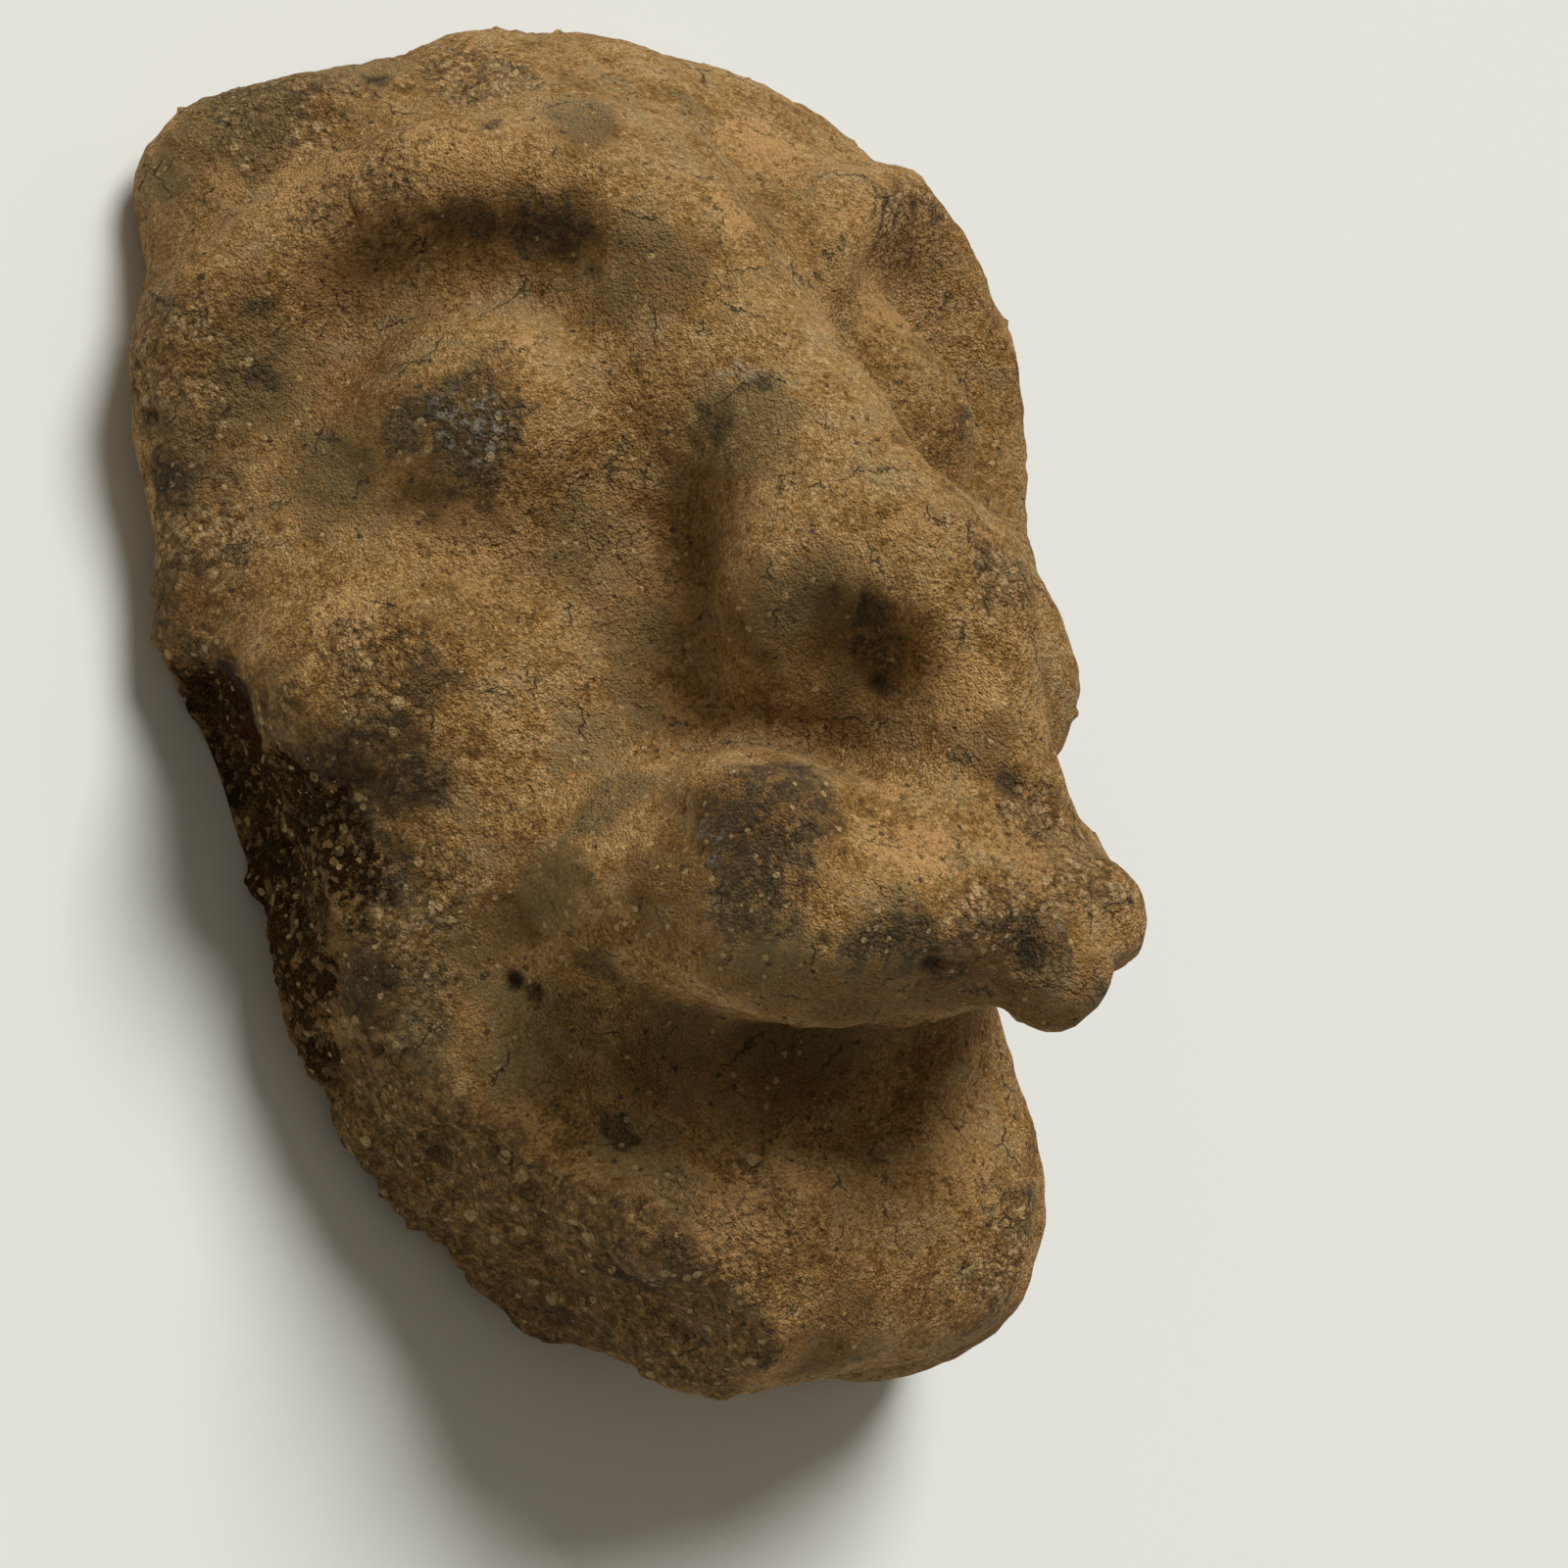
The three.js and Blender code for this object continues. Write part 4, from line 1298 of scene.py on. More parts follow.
class Board:
    """A node tree that nodes are laid on and wired in short calls."""

    def __init__(self, tree: bpy.types.NodeTree) -> None:
        """Keeps the tree."""
        self.tree = tree

    def feed(self, socket: bpy.types.NodeSocket, value: object) -> None:
        """Links the value if it is a socket, and otherwise sets it.

        Args:
            socket: The input.
            value: A socket, a number, or a colour of three parts.
        """
        if isinstance(value, bpy.types.NodeSocket):
            self.tree.links.new(value, socket)
        elif isinstance(value, tuple) and len(value) == 3 and socket.type == "RGBA":
            socket.default_value = (*value, 1)
        else:
            socket.default_value = value

    def node(self, kind: str, inputs: dict | None = None, **settings: object) -> bpy.types.Node:
        """Adds a node.

        Args:
            kind: Type of the node.
            inputs: Values or sockets for its inputs, by name or number.
            settings: Its properties.

        Returns:
            The node.
        """
        made = self.tree.nodes.new(kind)
        for name, value in settings.items():
            setattr(made, name, value)
        for key, value in (inputs or {}).items():
            self.feed(made.inputs[key], value)
        return made

    def math(self, operation: str, first: object, second: object = 0.0) -> bpy.types.NodeSocket:
        """Result of a sum on two numbers."""
        return self.node("ShaderNodeMath", {0: first, 1: second}, operation=operation).outputs[0]

    def noise(
        self, place: object, size: float, detail: float, rough: float
    ) -> bpy.types.NodeSocket:
        """Soft noise with features of a size in millimetres.

        Args:
            place: Vector socket in millimetres.
            size: Size of the largest features.
            detail: How many finer layers are added.
            rough: How strong the finer layers are.

        Returns:
            The factor socket, about 0.5 on average.
        """
        inputs = {"Vector": place, "Scale": 1 / size, "Detail": detail, "Roughness": rough}
        return self.node("ShaderNodeTexNoise", inputs).outputs[0]

    def step(self, value: object, start: float, end: float) -> bpy.types.NodeSocket:
        """Smooth step from 0 at the start to 1 at the end.

        Args:
            value: Number to be stepped.
            start: Value that gives 0.
            end: Value that gives 1.

        Returns:
            The stepped number.
        """
        inputs = {"Value": value, "From Min": start, "From Max": end}
        made = self.node("ShaderNodeMapRange", inputs, interpolation_type="SMOOTHSTEP")
        return made.outputs[0]

    def mix(
        self, share: object, first: object, second: object, blend: str = "MIX"
    ) -> bpy.types.NodeSocket:
        """Mix of two colours.

        Args:
            share: How much of the second.
            first: Colour or socket.
            second: Colour or socket.
            blend: Way of mixing.

        Returns:
            The mixed colour.
        """
        made = self.node("ShaderNodeMix", {0: share, 6: first, 7: second}, data_type="RGBA",
                         blend_type=blend)
        return made.outputs[2]

    def lay(
        self, under: object, over: object, mask: object, cover: object
    ) -> bpy.types.NodeSocket:
        """A colour with another laid over it, by the mask times the cover."""
        return self.mix(self.math("MULTIPLY", mask, cover), under, over)

    def total(self, *parts: tuple[object, float]) -> bpy.types.NodeSocket:
        """Sum of numbers, each times its weight.

        Args:
            parts: The numbers or sockets, each with its weight.

        Returns:
            The sum.
        """
        (first, weight), *others = parts
        found = self.math("MULTIPLY", first, weight)
        for value, weight in others:
            found = self.math("ADD", found, self.math("MULTIPLY", value, weight))
        return found

    def bent(self, place: object, noise: object, reach: float) -> bpy.types.NodeSocket:
        """The place moved by a coloured noise times the reach."""
        inputs = {0: noise, 1: (reach, reach, reach), 2: place}
        return self.node("ShaderNodeVectorMath", inputs, operation="MULTIPLY_ADD").outputs[0]

    def ramp(self, value: object, stops: tuple[tuple[float, Colour], ...]) -> bpy.types.NodeSocket:
        """Colour read off a row of stops.

        Args:
            value: Number from 0 to 1.
            stops: Places and colours in rising order.

        Returns:
            The colour socket.
        """
        made = self.node("ShaderNodeValToRGB", {0: value})
        elements = made.color_ramp.elements
        for place, _ in stops[2:]:
            elements.new(place)
        for element, (place, colour) in zip(elements, stops):
            element.position = place
            element.color = (*colour, 1)
        return made.outputs[0]


def new_group(
    name: str, inputs: dict[str, str], outputs: dict[str, str]
) -> tuple[Board, dict, dict]:
    """Makes an empty shader group.

    Args:
        name: Name of the group.
        inputs: Names and kinds of its inputs.
        outputs: Names and kinds of its outputs.

    Returns:
        The group's board, its input sockets by name, and its output sockets by name.
    """
    tree = bpy.data.node_groups.new(name, "ShaderNodeTree")
    for label, kind in inputs.items():
        tree.interface.new_socket(label, in_out="INPUT", socket_type=f"NodeSocket{kind}")
    for label, kind in outputs.items():
        tree.interface.new_socket(label, in_out="OUTPUT", socket_type=f"NodeSocket{kind}")
    entry = tree.nodes.new("NodeGroupInput")
    leave = tree.nodes.new("NodeGroupOutput")
    given = {label: entry.outputs[label] for label in inputs}
    wanted = {label: leave.inputs[label] for label in outputs}
    return Board(tree), given, wanted


@dataclass(frozen=True)
class SpecksGroup:
    """Node group: round specks scattered over a surface, with a value of their own."""

    name: str = "specks"

    def build(self) -> bpy.types.NodeTree:
        """A cell pattern whose cells each show a round speck of random size, or none.

        Returns:
            The group, with inputs Place, Spacing, Size and Share and outputs Mask and Tone.
        """
        board, given, wanted = new_group(
            self.name,
            {"Place": "Vector", "Spacing": "Float", "Size": "Float", "Share": "Float"},
            {"Mask": "Float", "Tone": "Float"},
        )
        scale = board.math("DIVIDE", 1.0, given["Spacing"])
        cells = board.node("ShaderNodeTexVoronoi", {"Vector": given["Place"], "Scale": scale})
        gap = board.math("MULTIPLY", cells.outputs["Distance"], given["Spacing"])
        split = board.node("ShaderNodeSeparateColor", {0: cells.outputs["Color"]})
        size = board.math("MULTIPLY_ADD", split.outputs[1], 0.7)
        size.node.inputs[2].default_value = 0.3
        wide = board.math("MULTIPLY", size, given["Size"])
        inside = board.step(board.math("DIVIDE", gap, wide), 1.0, 0.7)
        here = board.math("LESS_THAN", split.outputs[0], given["Share"])
        board.feed(wanted["Mask"], board.math("MULTIPLY", inside, here))
        board.feed(wanted["Tone"], split.outputs[2])
        return board.tree


@dataclass(frozen=True)
class SandGroup:
    """Node group: packed grains of sand of about one size."""

    name: str = "sand"

    def build(self) -> bpy.types.NodeTree:
        """A cell pattern, bent by noise, whose cells are rounded grains.

        The height is 0.5 less the distance from the grain's middle. The cavity steps from 0 to 1
        towards the joints between grains. The tone and the hue are random numbers for each grain.

        Returns:
            The group, with inputs Place and Size and outputs Height, Cavity, Tone and Hue.
        """
        board, given, wanted = new_group(
            self.name,
            {"Place": "Vector", "Size": "Float"},
            {"Height": "Float", "Cavity": "Float", "Tone": "Float", "Hue": "Float"},
        )
        scale = board.math("DIVIDE", 1.0, given["Size"])
        wobble = board.node("ShaderNodeTexNoise", {"Vector": given["Place"], "Scale": scale,
                                                   "Detail": 1.0}).outputs["Color"]
        reach = board.math("MULTIPLY", given["Size"], 0.8)
        bend = board.node("ShaderNodeVectorMath", {0: wobble, "Scale": reach},
                          operation="SCALE").outputs[0]
        bent = board.node("ShaderNodeVectorMath", {0: bend, 1: given["Place"]},
                          operation="ADD").outputs[0]
        cells = board.node("ShaderNodeTexVoronoi", {"Vector": bent, "Scale": scale})
        gap = cells.outputs["Distance"]
        split = board.node("ShaderNodeSeparateColor", {0: cells.outputs["Color"]})
        board.feed(wanted["Height"], board.math("SUBTRACT", 0.5, gap))
        board.feed(wanted["Cavity"], board.step(gap, 0.35, 0.75))
        board.feed(wanted["Tone"], split.outputs[0])
        board.feed(wanted["Hue"], split.outputs[1])
        return board.tree


@dataclass(frozen=True)
class GrainGroup:
    """Node group: the fine unevenness of a matt surface, as a height and a mask."""

    name: str = "fine_grain"

    def build(self) -> bpy.types.NodeTree:
        """Three sizes of noise added up, each half the height of the one before.

        Returns:
            The group, with inputs Place and Size and outputs Height and Mask.
        """
        board, given, wanted = new_group(
            self.name, {"Place": "Vector", "Size": "Float"}, {"Height": "Float", "Mask": "Float"}
        )
        scale = board.math("DIVIDE", 1.0, given["Size"])
        noise = board.node("ShaderNodeTexNoise", {"Vector": given["Place"], "Scale": scale,
                                                  "Detail": 3.0, "Roughness": 0.6}).outputs[0]
        board.feed(wanted["Height"], board.math("SUBTRACT", noise, 0.5))
        board.feed(wanted["Mask"], board.step(noise, 0.35, 0.65))
        return board.tree


@dataclass(frozen=True)
class Patterns:
    """Sockets of the patterns that the clay's colour and height are made of."""

    place: bpy.types.NodeSocket
    big: bpy.types.NodeSocket
    middle: bpy.types.NodeSocket
    small: bpy.types.NodeSocket
    tiny: bpy.types.NodeSocket
    sand: bpy.types.NodeOutputs
    gravel: bpy.types.NodeOutputs
    coarse: bpy.types.NodeSocket
    crumbs: bpy.types.NodeSocket


@dataclass(frozen=True)
class FiredClay:
    """Finish of the clay: sandy yellow-brown skin, smoke and soot, pale and dark grit, raw break,
    with painted shade in hollows, pits, cracks and between grains, and painted glints.

    Sizes are in millimetres. A value named cover is how much of a colour is laid over what is
    under it. The noises, the sand and the gravel are numbers of about 0.5.
    """

    specks: bpy.types.NodeTree
    grain: bpy.types.NodeTree
    sand: bpy.types.NodeTree
    # The darkest clay tone, also laid as painted shade in hollows and between sand grains.
    shade: Colour = (0.115, 0.056, 0.013)
    brown: Colour = (0.29, 0.153, 0.038)
    tan: Colour = (0.5, 0.28, 0.09)
    pale: Colour = (0.72, 0.475, 0.22)
    olive: Colour = (0.27, 0.2, 0.088)
    ochre_and_painted_light: Colour = (0.7, 0.4, 0.15)
    umber_and_painted_shade: Colour = (0.1, 0.05, 0.011)
    smoke: Colour = (0.225, 0.168, 0.068)
    soot: Colour = (0.036, 0.027, 0.014)
    char_and_painted_shadow: Colour = (0.01, 0.006, 0.003)
    red: Colour = (0.035, 0.01, 0.005)
    cream: Colour = (0.6, 0.42, 0.19)
    grit: Colour = (0.03, 0.024, 0.02)
    painted_glint: Colour = (0.42, 0.38, 0.28)
    big_size: float = 15
    middle_size: float = 4.5
    small_size: float = 1.1
    tiny_size: float = 0.35
    sand_size: float = 0.27
    gravel_size: float = 0.8
    grain_size: float = 0.55
    crack_spacing: float = 1 / 0.14
    crack_bend: float = 2.2
    crack_width: float = 0.02
    olive_cover: float = 0.6
    ochre_and_painted_light_cover: float = 0.55
    umber_and_painted_shade_cover: float = 0.6
    smoke_cover: float = 0.6
    painted_hollow_shade_cover: float = 0.5
    broken_cover: float = 0.8
    soot_cover: float = 0.95
    painted_gap_shade_cover: float = 0.45
    fine_cover: float = 0.3
    cream_cover: float = 0.7
    chip_cover: float = 0.65
    grit_cover: float = 0.7
    painted_pit_shade_cover: float = 0.85
    painted_glint_cover: float = 0.5
    painted_crack_shade_cover: float = 0.7
    grain_height: float = 0.34
    small_height: float = 0.6
    sand_height: float = 0.26
    gravel_height: float = 0.6
    crack_depth: float = 0.35
    shine: float = 0.3
    roughness: float = 0.92
    sheen_roughness: float = 0.34

    def group(self, board: Board, tree: bpy.types.NodeTree, inputs: dict) -> bpy.types.NodeOutputs:
        """Places a node group with its inputs.

        Args:
            board: Where the nodes are laid.
            tree: The group.
            inputs: Values or sockets for its inputs, by name.

        Returns:
            The outputs of the group.
        """
        made = board.node("ShaderNodeGroup", {}, node_tree=tree)
        for key, value in inputs.items():
            board.feed(made.inputs[key], value)
        return made.outputs

    def mask(self, board: Board, name: str) -> bpy.types.NodeSocket:
        """The numbers of a vertex attribute."""
        return board.node("ShaderNodeAttribute", {}, attribute_name=name).outputs["Fac"]

    def ragged(
        self, board: Board, mask: object, noise: object, strength: float, full: float = 0.75
    ) -> bpy.types.NodeSocket:
        """A mask broken up into grains: a step over the mask times 1 + strength * (noise - 0.5).

        The step starts at 0.2.

        Args:
            board: Where the nodes are laid.
            mask: The mask.
            noise: Number of about 0.5 that varies from grain to grain.
            strength: How much the noise breaks up the mask.
            full: Value that becomes 1.

        Returns:
            The broken-up mask.
        """
        shift = board.math("MULTIPLY", board.math("SUBTRACT", noise, 0.5), strength)
        return board.step(board.math("MULTIPLY", mask, board.math("ADD", shift, 1.0)), 0.2, full)

    def patterns(self, board: Board) -> Patterns:
        """Lays the patterns: four sizes of noise, sand, gravel, and where the clay is coarse.

        The crumbs are 0.45 of the stepped small noise, 0.3 of the stepped tiny noise and 0.25 of
        the sand's tone.

        Args:
            board: Where the nodes are laid.

        Returns:
            The patterns.
        """
        object_place = board.node("ShaderNodeTexCoord").outputs["Object"]
        place = board.node("ShaderNodeVectorMath", {0: object_place, "Scale": 1 / METRES},
                           operation="SCALE").outputs[0]
        big = board.noise(place, self.big_size, 3, 0.55)
        middle = board.noise(place, self.middle_size, 4, 0.62)
        small = board.noise(place, self.small_size, 5, 0.68)
        tiny = board.noise(place, self.tiny_size, 3, 0.6)
        sand = self.group(board, self.sand, {"Place": place, "Size": self.sand_size})
        gravel = self.group(board, self.sand, {"Place": place, "Size": self.gravel_size})
        coarse = self.ragged(board, self.mask(board, "rough"), middle, 4.0)
        coarse = board.math("MAXIMUM", coarse, self.mask(board, "broken"))
        crumbs = board.total((board.step(small, 0.35, 0.65), 0.45),
                             (board.step(tiny, 0.3, 0.7), 0.3), (sand["Tone"], 0.25))
        return Patterns(place, big, middle, small, tiny, sand, gravel, coarse, crumbs)

    def skin(self, board: Board, made: Patterns) -> bpy.types.NodeSocket:
        """Colour of the bare clay, read off a ramp by a tone.

        The tone is 0.55 of the big noise and 0.7 each of the middle and small noises, less 0.43,
        with 0.27 of the sand's tone and, where the clay is coarse, 0.4 of the gravel's tone, both
        less 0.5.

        Args:
            board: Where the nodes are laid.
            made: The patterns.

        Returns:
            The colour.
        """
        tone = board.total((made.big, 0.55), (made.middle, 0.7), (made.small, 0.7))
        tone = board.math("SUBTRACT", tone, 0.43)
        sandy = board.math("SUBTRACT", made.sand["Tone"], 0.5)
        stony = board.math("SUBTRACT", made.gravel["Tone"], 0.5)
        stony = board.math("MULTIPLY", stony, made.coarse)
        tone = board.total((tone, 1.0), (sandy, 0.27), (stony, 0.4))
        stops = ((0.22, self.shade), (0.42, self.brown), (0.58, self.tan), (0.8, self.pale))
        colour = board.ramp(tone, stops)
        dusty = board.total((made.sand["Hue"], 0.2), (made.middle, 1.0))
        return board.lay(colour, self.olive, board.step(dusty, 0.58, 0.8), self.olive_cover)

    def charred_and_painted_shadow(self, board: Board, made: Patterns) -> bpy.types.NodeSocket:
        """Where the break is laid near black, partly burnt clay and partly painted shadow, with the
        odd grain of gravel showing through.

        Args:
            board: Where the nodes are laid.
            made: The patterns.

        Returns:
            The mask.
        """
        char_and_painted_shadow = self.ragged(board, self.mask(board, "char_and_painted_shadow"), made.crumbs, 2.0)
        dull = board.math("SUBTRACT", 0.95, board.math("GREATER_THAN", made.gravel["Tone"], 0.84))
        return board.math("MULTIPLY", char_and_painted_shadow, board.math("MAXIMUM", dull, 0.35))

    def stained(
        self, board: Board, made: Patterns, colour: object, char_and_painted_shadow: object
    ) -> bpy.types.NodeSocket:
        """The colour with the marks laid over it in turn.

        Args:
            board: Where the nodes are laid.
            made: The patterns.
            colour: Colour of the bare clay.
            char_and_painted_shadow: Where the break is laid near black, burnt clay and painted
                shadow.

        Returns:
            The colour.
        """
        # Painted light in part: the yellow-brown marks also lighten undersides and sides turned
        # from the light.
        ochre_and_painted_light = self.ragged(board, self.mask(board, "ochre_and_painted_light"), made.crumbs, 2.0)
        colour = board.lay(colour, self.ochre_and_painted_light, ochre_and_painted_light, self.ochre_and_painted_light_cover)
        # Painted shade in part: the dark brown marks darken creases, undersides and the left side,
        # besides darker clay.
        umber_and_painted_shade = self.ragged(board, self.mask(board, "umber_and_painted_shade"), made.crumbs, 2.0, 1.0)
        colour = board.lay(colour, self.umber_and_painted_shade, umber_and_painted_shade, self.umber_and_painted_shade_cover)
        smoke = self.ragged(board, self.mask(board, "smoke"), made.crumbs, 2.0)
        colour = board.lay(colour, self.smoke, smoke, self.smoke_cover)
        # Painted shade: deep hollows are darkened towards the darkest clay tone.
        colour = board.lay(colour, self.shade, self.mask(board, "hollow"), self.painted_hollow_shade_cover)
        broken = self.ragged(board, self.mask(board, "broken"), made.crumbs, 2.0)
        raw = board.mix(board.step(made.small, 0.35, 0.7), self.shade, self.tan)
        colour = board.lay(colour, raw, broken, self.broken_cover)
        patchy = board.total((made.crumbs, 0.5), (made.middle, 0.5))
        soot = self.ragged(board, self.mask(board, "soot"), patchy, 4.5, 0.95)
        bare = board.math("MULTIPLY", made.sand["Tone"], 0.35)
        cover = board.math("SUBTRACT", self.soot_cover, bare)
        colour = board.lay(colour, self.soot, soot, cover)
        # Painted shadow in part: the break is laid near black over burnt dark clay.
        colour = board.mix(char_and_painted_shadow, colour, self.char_and_painted_shadow)
        notch = self.ragged(board, self.mask(board, "notch"), made.small, 2.0)
        return board.mix(notch, colour, self.red)

    def gritty(self, board: Board, made: Patterns, colour: object) -> bpy.types.NodeSocket:
        """The colour with painted shade in the joints between sand grains and gravel, the fine
        grain, and pale and dark grit.

        Args:
            board: Where the nodes are laid.
            made: The patterns.
            colour: Colour of the stained clay.

        Returns:
            The colour.
        """
        # Painted shade: the joints between sand grains are darkened towards the darkest clay tone,
        # more where the clay is coarse.
        depth = board.total((made.coarse, 0.25), (1.0, 0.2))
        colour = board.lay(colour, self.shade, made.sand["Cavity"], depth)
        # Painted shade: the gaps between gravel on coarse clay are darkened with the soot colour.
        gaps = board.math("MULTIPLY", made.gravel["Cavity"], made.coarse)
        colour = board.lay(colour, self.soot, gaps, self.painted_gap_shade_cover)
        fine = board.step(made.tiny, 0.3, 0.7)
        grey = board.ramp(fine, ((0, (0.2, 0.2, 0.2)), (1, (0.8, 0.8, 0.8))))
        colour = board.mix(self.fine_cover, colour, grey, "OVERLAY")
        stir = board.node("ShaderNodeTexNoise", {"Vector": made.place, "Scale": 1.4, "Detail": 2.0})
        place = board.bent(made.place, stir.outputs["Color"], 0.45)
        for spacing, size, share, over, cover in (
            (1.1, 0.36, 0.42, self.cream, self.cream_cover),
            (2.1, 0.75, 0.5, self.cream, board.math("MULTIPLY", made.coarse, self.chip_cover)),
            (1.2, 0.36, 0.4, self.grit, self.grit_cover),
        ):
            inputs = {"Place": place, "Spacing": spacing, "Size": size, "Share": share}
            mask = self.group(board, self.specks, inputs)["Mask"]
            colour = board.lay(colour, over, mask, cover)
        return colour

    def cracks(self, board: Board, made: Patterns) -> bpy.types.NodeSocket:
        """Fine wandering cracks, only where the middle noise is high.

        Args:
            board: Where the nodes are laid.
            made: The patterns.

        Returns:
            The mask.
        """
        wobble = board.node("ShaderNodeTexNoise", {"Vector": made.place, "Scale": 0.8,
                                                   "Detail": 4.0})
        place = board.bent(made.place, wobble.outputs["Color"], self.crack_bend)
        inputs = {"Vector": place, "Scale": 1 / self.crack_spacing}
        edges = board.node("ShaderNodeTexVoronoi", inputs, feature="DISTANCE_TO_EDGE")
        line = board.step(edges.outputs["Distance"], self.crack_width, 0.0)
        return board.math("MULTIPLY", line, board.step(made.middle, 0.52, 0.6))

    def bump(self, board: Board, made: Patterns, crack: object) -> bpy.types.NodeSocket:
        """The normal over a height in millimetres, added up from grains of several sizes.

        Args:
            board: Where the nodes are laid.
            made: The patterns.
            crack: Where the cracks are.

        Returns:
            The normal.
        """
        grain = self.group(board, self.grain, {"Place": made.place, "Size": self.grain_size})
        stones = board.math("MULTIPLY", made.gravel["Height"], made.coarse)
        height = board.total(
            (grain["Height"], self.grain_height), (made.small, self.small_height),
            (made.sand["Height"], self.sand_height), (stones, self.gravel_height),
            (crack, -self.crack_depth),
        )
        inputs = {"Height": height, "Strength": 1.0, "Distance": METRES}
        return board.node("ShaderNodeBump", inputs).outputs[0]

    def build(self) -> bpy.types.Material:
        """Wires the material.

        Returns:
            The material.
        """
        material = bpy.data.materials.new("fired_clay_skin")
        material.use_nodes = True
        material.node_tree.nodes.clear()
        board = Board(material.node_tree)
        made = self.patterns(board)
        char_and_painted_shadow = self.charred_and_painted_shadow(board, made)
        colour = self.stained(board, made, self.skin(board, made), char_and_painted_shadow)
        colour = self.gritty(board, made, colour)
        # Painted shade: the pits are darkened with the soot colour, over their dent in the relief.
        colour = board.lay(colour, self.soot, self.mask(board, "pit"), self.painted_pit_shade_cover)
        # Painted highlight: where there is sheen, light spots are laid as glints, and the roughness
        # is lowered there too.
        sheen = self.ragged(board, self.mask(board, "sheen"), made.small, 2.4)
        glint_flecks = board.math("MULTIPLY", sheen, board.step(made.small, 0.5, 0.6))
        colour = board.lay(colour, self.painted_glint, glint_flecks, self.painted_glint_cover)
        crack = self.cracks(board, made)
        # Painted shade: the cracks are darkened with the soot colour, over their groove in the
        # bump.
        colour = board.lay(colour, self.soot, crack, self.painted_crack_shade_cover)
        rough = board.total((glint_flecks, self.sheen_roughness - self.roughness), (1.0, self.roughness))
        shine = board.math("MULTIPLY", board.math("SUBTRACT", 1.0, char_and_painted_shadow), self.shine)
        shader = board.node("ShaderNodeBsdfPrincipled", {
            "Base Color": colour, "Roughness": rough, "Normal": self.bump(board, made, crack),
            "Specular IOR Level": shine,
        })
        board.node("ShaderNodeOutputMaterial", {"Surface": shader.outputs[0]})
        return material


@dataclass
class Floor:
    """Plain pale floor, far wider than the view."""

    grain: bpy.types.NodeTree
    half: float = 2.0
    cells: int = 8
    drop: float = 0.0002
    colour: Colour = (0.82, 0.84, 0.81)
    grain_size: float = 0.4
    darker: float = 0.985
    roughness: float = 0.9
    shine: float = 0.1

    def build(self) -> bpy.types.Object:
        """Makes the floor, a grid of a few cells just under the head's back.

        Returns:
            The floor.
        """
        count = self.cells + 1
        line = np.linspace(-self.half, self.half, count)
        x, y = np.meshgrid(line, line)
        points = np.stack([x, y, np.full_like(x, -self.drop)], -1).reshape(-1, 3)
        number = np.arange(count * count).reshape(count, count)
        cells = [number[:-1, :-1], number[:-1, 1:], number[1:, 1:], number[1:, :-1]]
        mesh = bpy.data.meshes.new("pale_floor")
        mesh.from_pydata(points.tolist(), [], np.stack(cells, -1).reshape(-1, 4).tolist())
        material = bpy.data.materials.new("pale_floor")
        material.use_nodes = True
        material.node_tree.nodes.clear()
        board = Board(material.node_tree)
        place = board.node("ShaderNodeTexCoord").outputs["Object"]
        grain = board.node("ShaderNodeGroup", {}, node_tree=self.grain)
        board.feed(grain.inputs["Place"], place)
        grain.inputs["Size"].default_value = self.grain_size
        darker = tuple(self.darker * part for part in self.colour)
        colour = board.mix(grain.outputs["Mask"], self.colour, darker)
        shader = board.node("ShaderNodeBsdfPrincipled", {
            "Base Color": colour, "Roughness": self.roughness, "Specular IOR Level": self.shine,
        })
        board.node("ShaderNodeOutputMaterial", {"Surface": shader.outputs[0]})
        mesh.materials.append(material)
        floor = bpy.data.objects.new("pale_floor", mesh)
        bpy.context.scene.collection.objects.link(floor)
        return floor


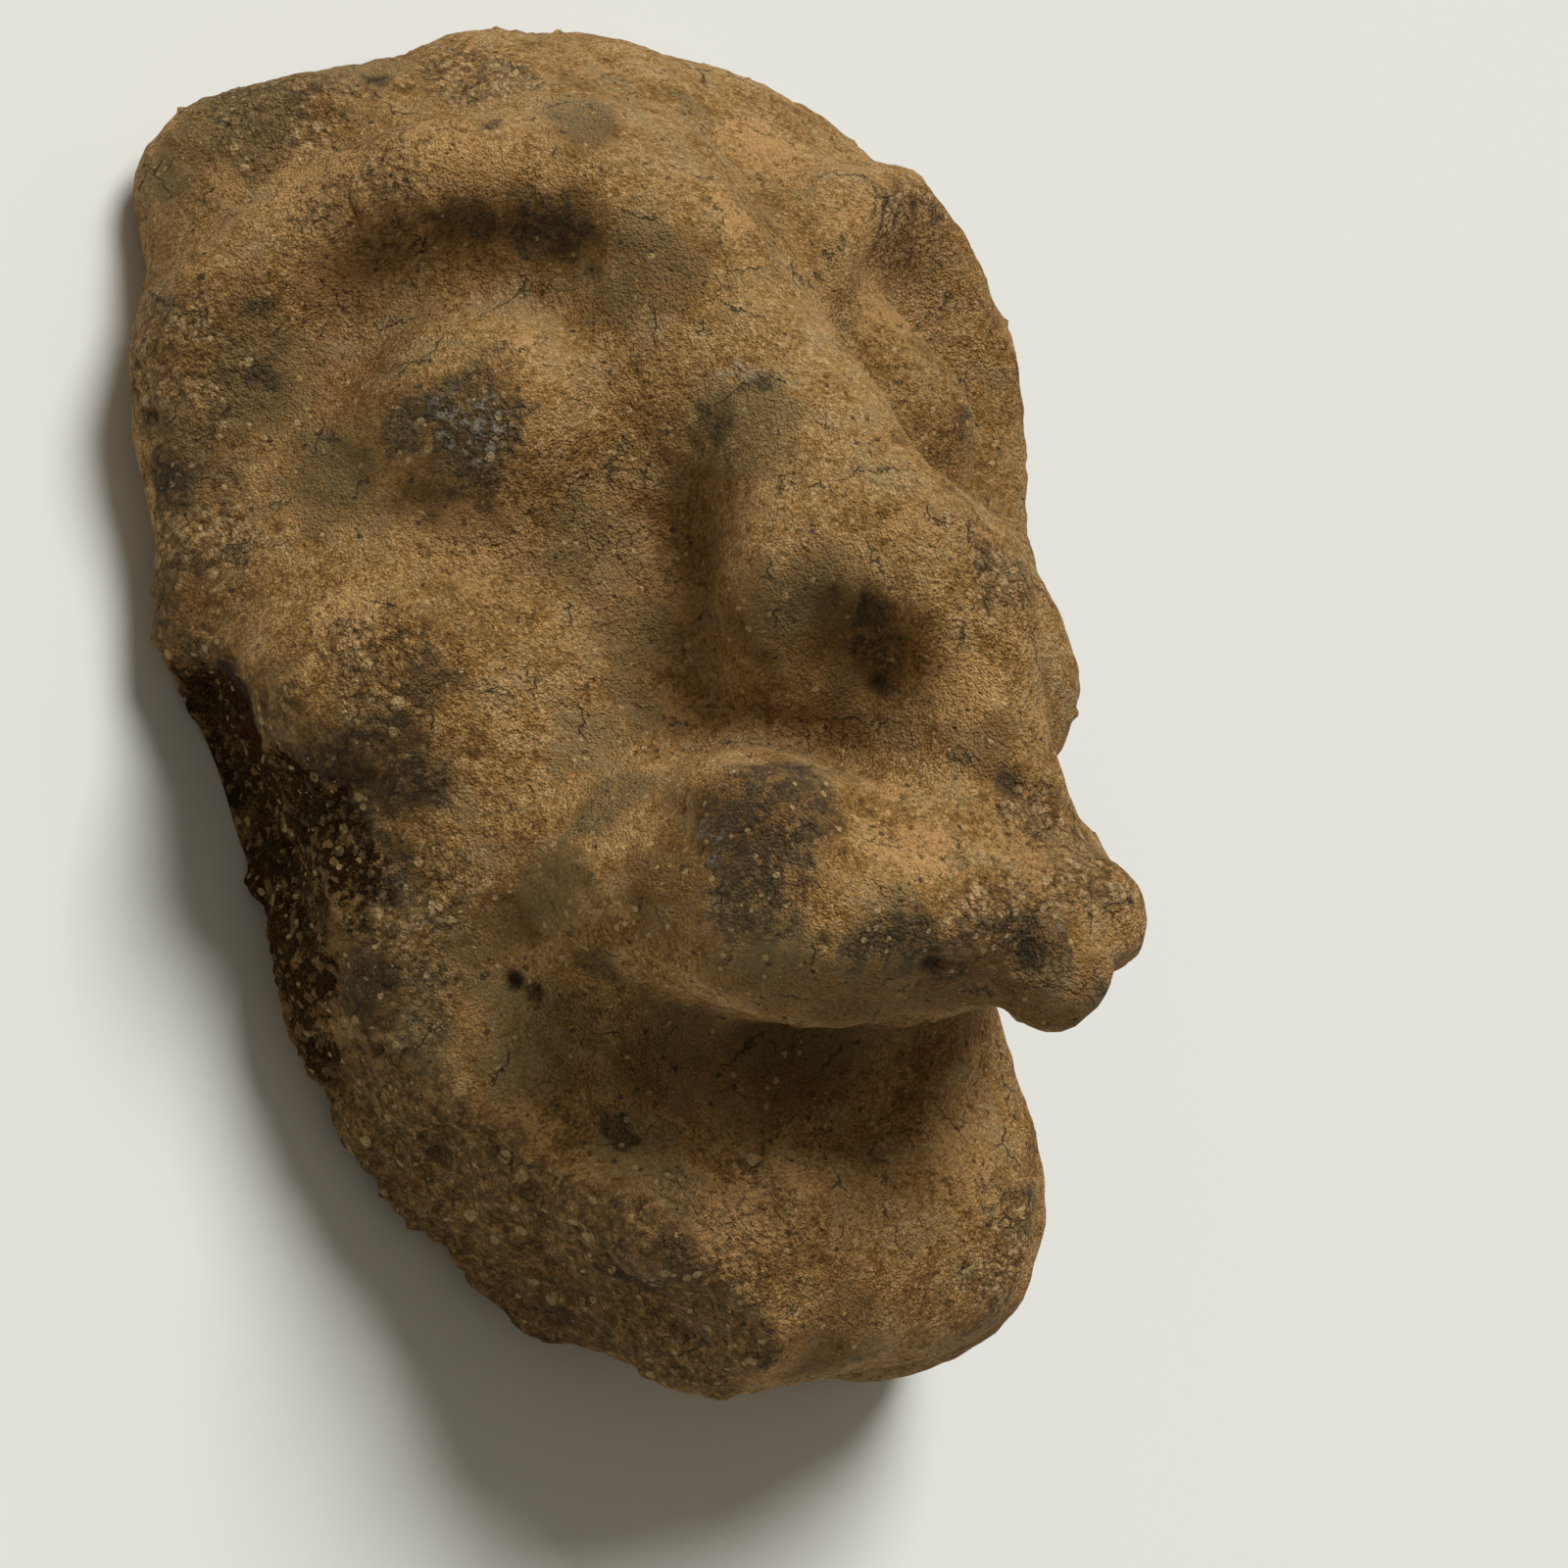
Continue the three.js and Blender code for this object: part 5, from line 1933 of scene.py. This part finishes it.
@dataclass(frozen=True)
class View:
    """The camera, turned from straight over the face and placed by one point of the face.

    It is turned by the yaw, tipped by the pitch and rolled. It stands so that the aimed point is
    seen at the aim pixel of a square picture, at the given scale. Angles are in degrees, the
    distance and the sensor in millimetres, and the clipping distances in metres.
    """

    yaw: float = 38
    pitch: float = 8
    roll: float = 10.5
    distance: float = 380
    pixels_per_mm: float = 11.2
    picture: float = 1600
    aim: Triple = (-6.5, -6, 30)
    aim_pixel: tuple[float, float] = (700, 740)
    sensor: float = 36
    nearest: float = 0.02
    farthest: float = 20

    def axes(self) -> Array:
        """The camera's right, up and backward directions, as rows.

        They are the product of a roll about Z, a tip about X the other way, and a turn about Y.

        Returns:
            The directions, shape (3, 3).
        """
        yaw, pitch, roll = (math.radians(a) for a in (self.yaw, -self.pitch, self.roll))
        c, s = math.cos(roll), math.sin(roll)
        about_z = np.array([[c, -s, 0], [s, c, 0], [0, 0, 1]])
        c, s = math.cos(pitch), math.sin(pitch)
        about_x = np.array([[1, 0, 0], [0, c, -s], [0, s, c]])
        c, s = math.cos(yaw), math.sin(yaw)
        about_y = np.array([[c, 0, s], [0, 1, 0], [-s, 0, c]])
        return about_z @ about_x @ about_y

    def place(self) -> Array:
        """Where the camera stands, in metres.

        The aimed point's offset in the camera's own directions is turned back and taken from
        the point.

        Returns:
            The place in the frame.
        """
        half = self.picture / 2
        across = (self.aim_pixel[0] - half) / self.pixels_per_mm
        above = -(self.aim_pixel[1] - half) / self.pixels_per_mm
        offset = np.array([across, above, -self.distance])
        return (np.array(self.aim) - offset @ self.axes() - np.array([*ORIGIN, 0])) * METRES

    def build(self) -> bpy.types.Object:
        """Makes the camera and sets it as the scene's.

        Returns:
            The camera.
        """
        data = bpy.data.cameras.new("view")
        data.sensor_width = self.sensor
        data.lens = self.pixels_per_mm * self.distance / self.picture * self.sensor
        data.clip_start, data.clip_end = self.nearest, self.farthest
        camera = bpy.data.objects.new("view", data)
        turned = Matrix(self.axes().T.tolist()).to_4x4()
        camera.matrix_world = Matrix.Translation(Vector(self.place().tolist())) @ turned
        bpy.context.scene.collection.objects.link(camera)
        bpy.context.scene.camera = camera
        return camera


@dataclass(frozen=True)
class Lamp:
    """One wide soft light from far away."""

    name: str
    way: Triple
    strength: float
    spread: float
    colour: Colour = (1, 1, 1)

    def build(self, view: View) -> bpy.types.Object:
        """Turns the light to come from a way given in the camera's right, up and back directions.

        Args:
            view: The camera's place and directions.

        Returns:
            The light.
        """
        data = bpy.data.lights.new(self.name, "SUN")
        data.energy = self.strength * math.pi
        data.angle = math.radians(self.spread)
        data.color = self.colour
        lamp = bpy.data.objects.new(self.name, data)
        towards = Vector((unit(self.way) @ view.axes()).tolist())
        lamp.matrix_world = towards.to_track_quat("Z", "Y").to_matrix().to_4x4()
        bpy.context.scene.collection.objects.link(lamp)
        return lamp


@dataclass(frozen=True)
class Studio:
    """Plain soft light: a wide key from the upper right and an even sky."""

    key: Lamp = Lamp("key", (0.52, 0.74, 0.4), 0.94, 30, (1, 0.995, 0.99))
    sky: Colour = (1, 0.9, 0.74)
    sky_strength: float = 0.2

    def build(self, view: View) -> None:
        """Makes the light and the sky, and sets how light becomes colour.

        Args:
            view: The camera's place and directions.
        """
        self.key.build(view)
        world = bpy.data.worlds.new("sky")
        world.use_nodes = True
        background = world.node_tree.nodes["Background"]
        background.inputs["Color"].default_value = (*self.sky, 1)
        background.inputs["Strength"].default_value = self.sky_strength
        scene = bpy.context.scene
        scene.world = world
        scene.view_settings.view_transform = "Standard"
        scene.view_settings.look = "None"


def main() -> None:
    """Builds the head, the floor, the light and the camera in order."""
    logging.basicConfig(level=logging.INFO, format="%(name)s: %(message)s")
    specks = SpecksGroup().build()
    grain = GrainGroup().build()
    sand = SandGroup().build()
    head = ClayHead().build()
    head.data.materials.append(FiredClay(specks, grain, sand).build())
    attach(head, "root")
    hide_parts(NODE)
    LOG.info("head: %d points, %d faces", len(head.data.vertices), len(head.data.polygons))
    Floor(grain).build()
    LOG.info("floor: plain and pale")
    view = View()
    view.build()
    Studio().build(view)
    LOG.info("camera and light: placed")


if __name__ == "__main__":
    main()
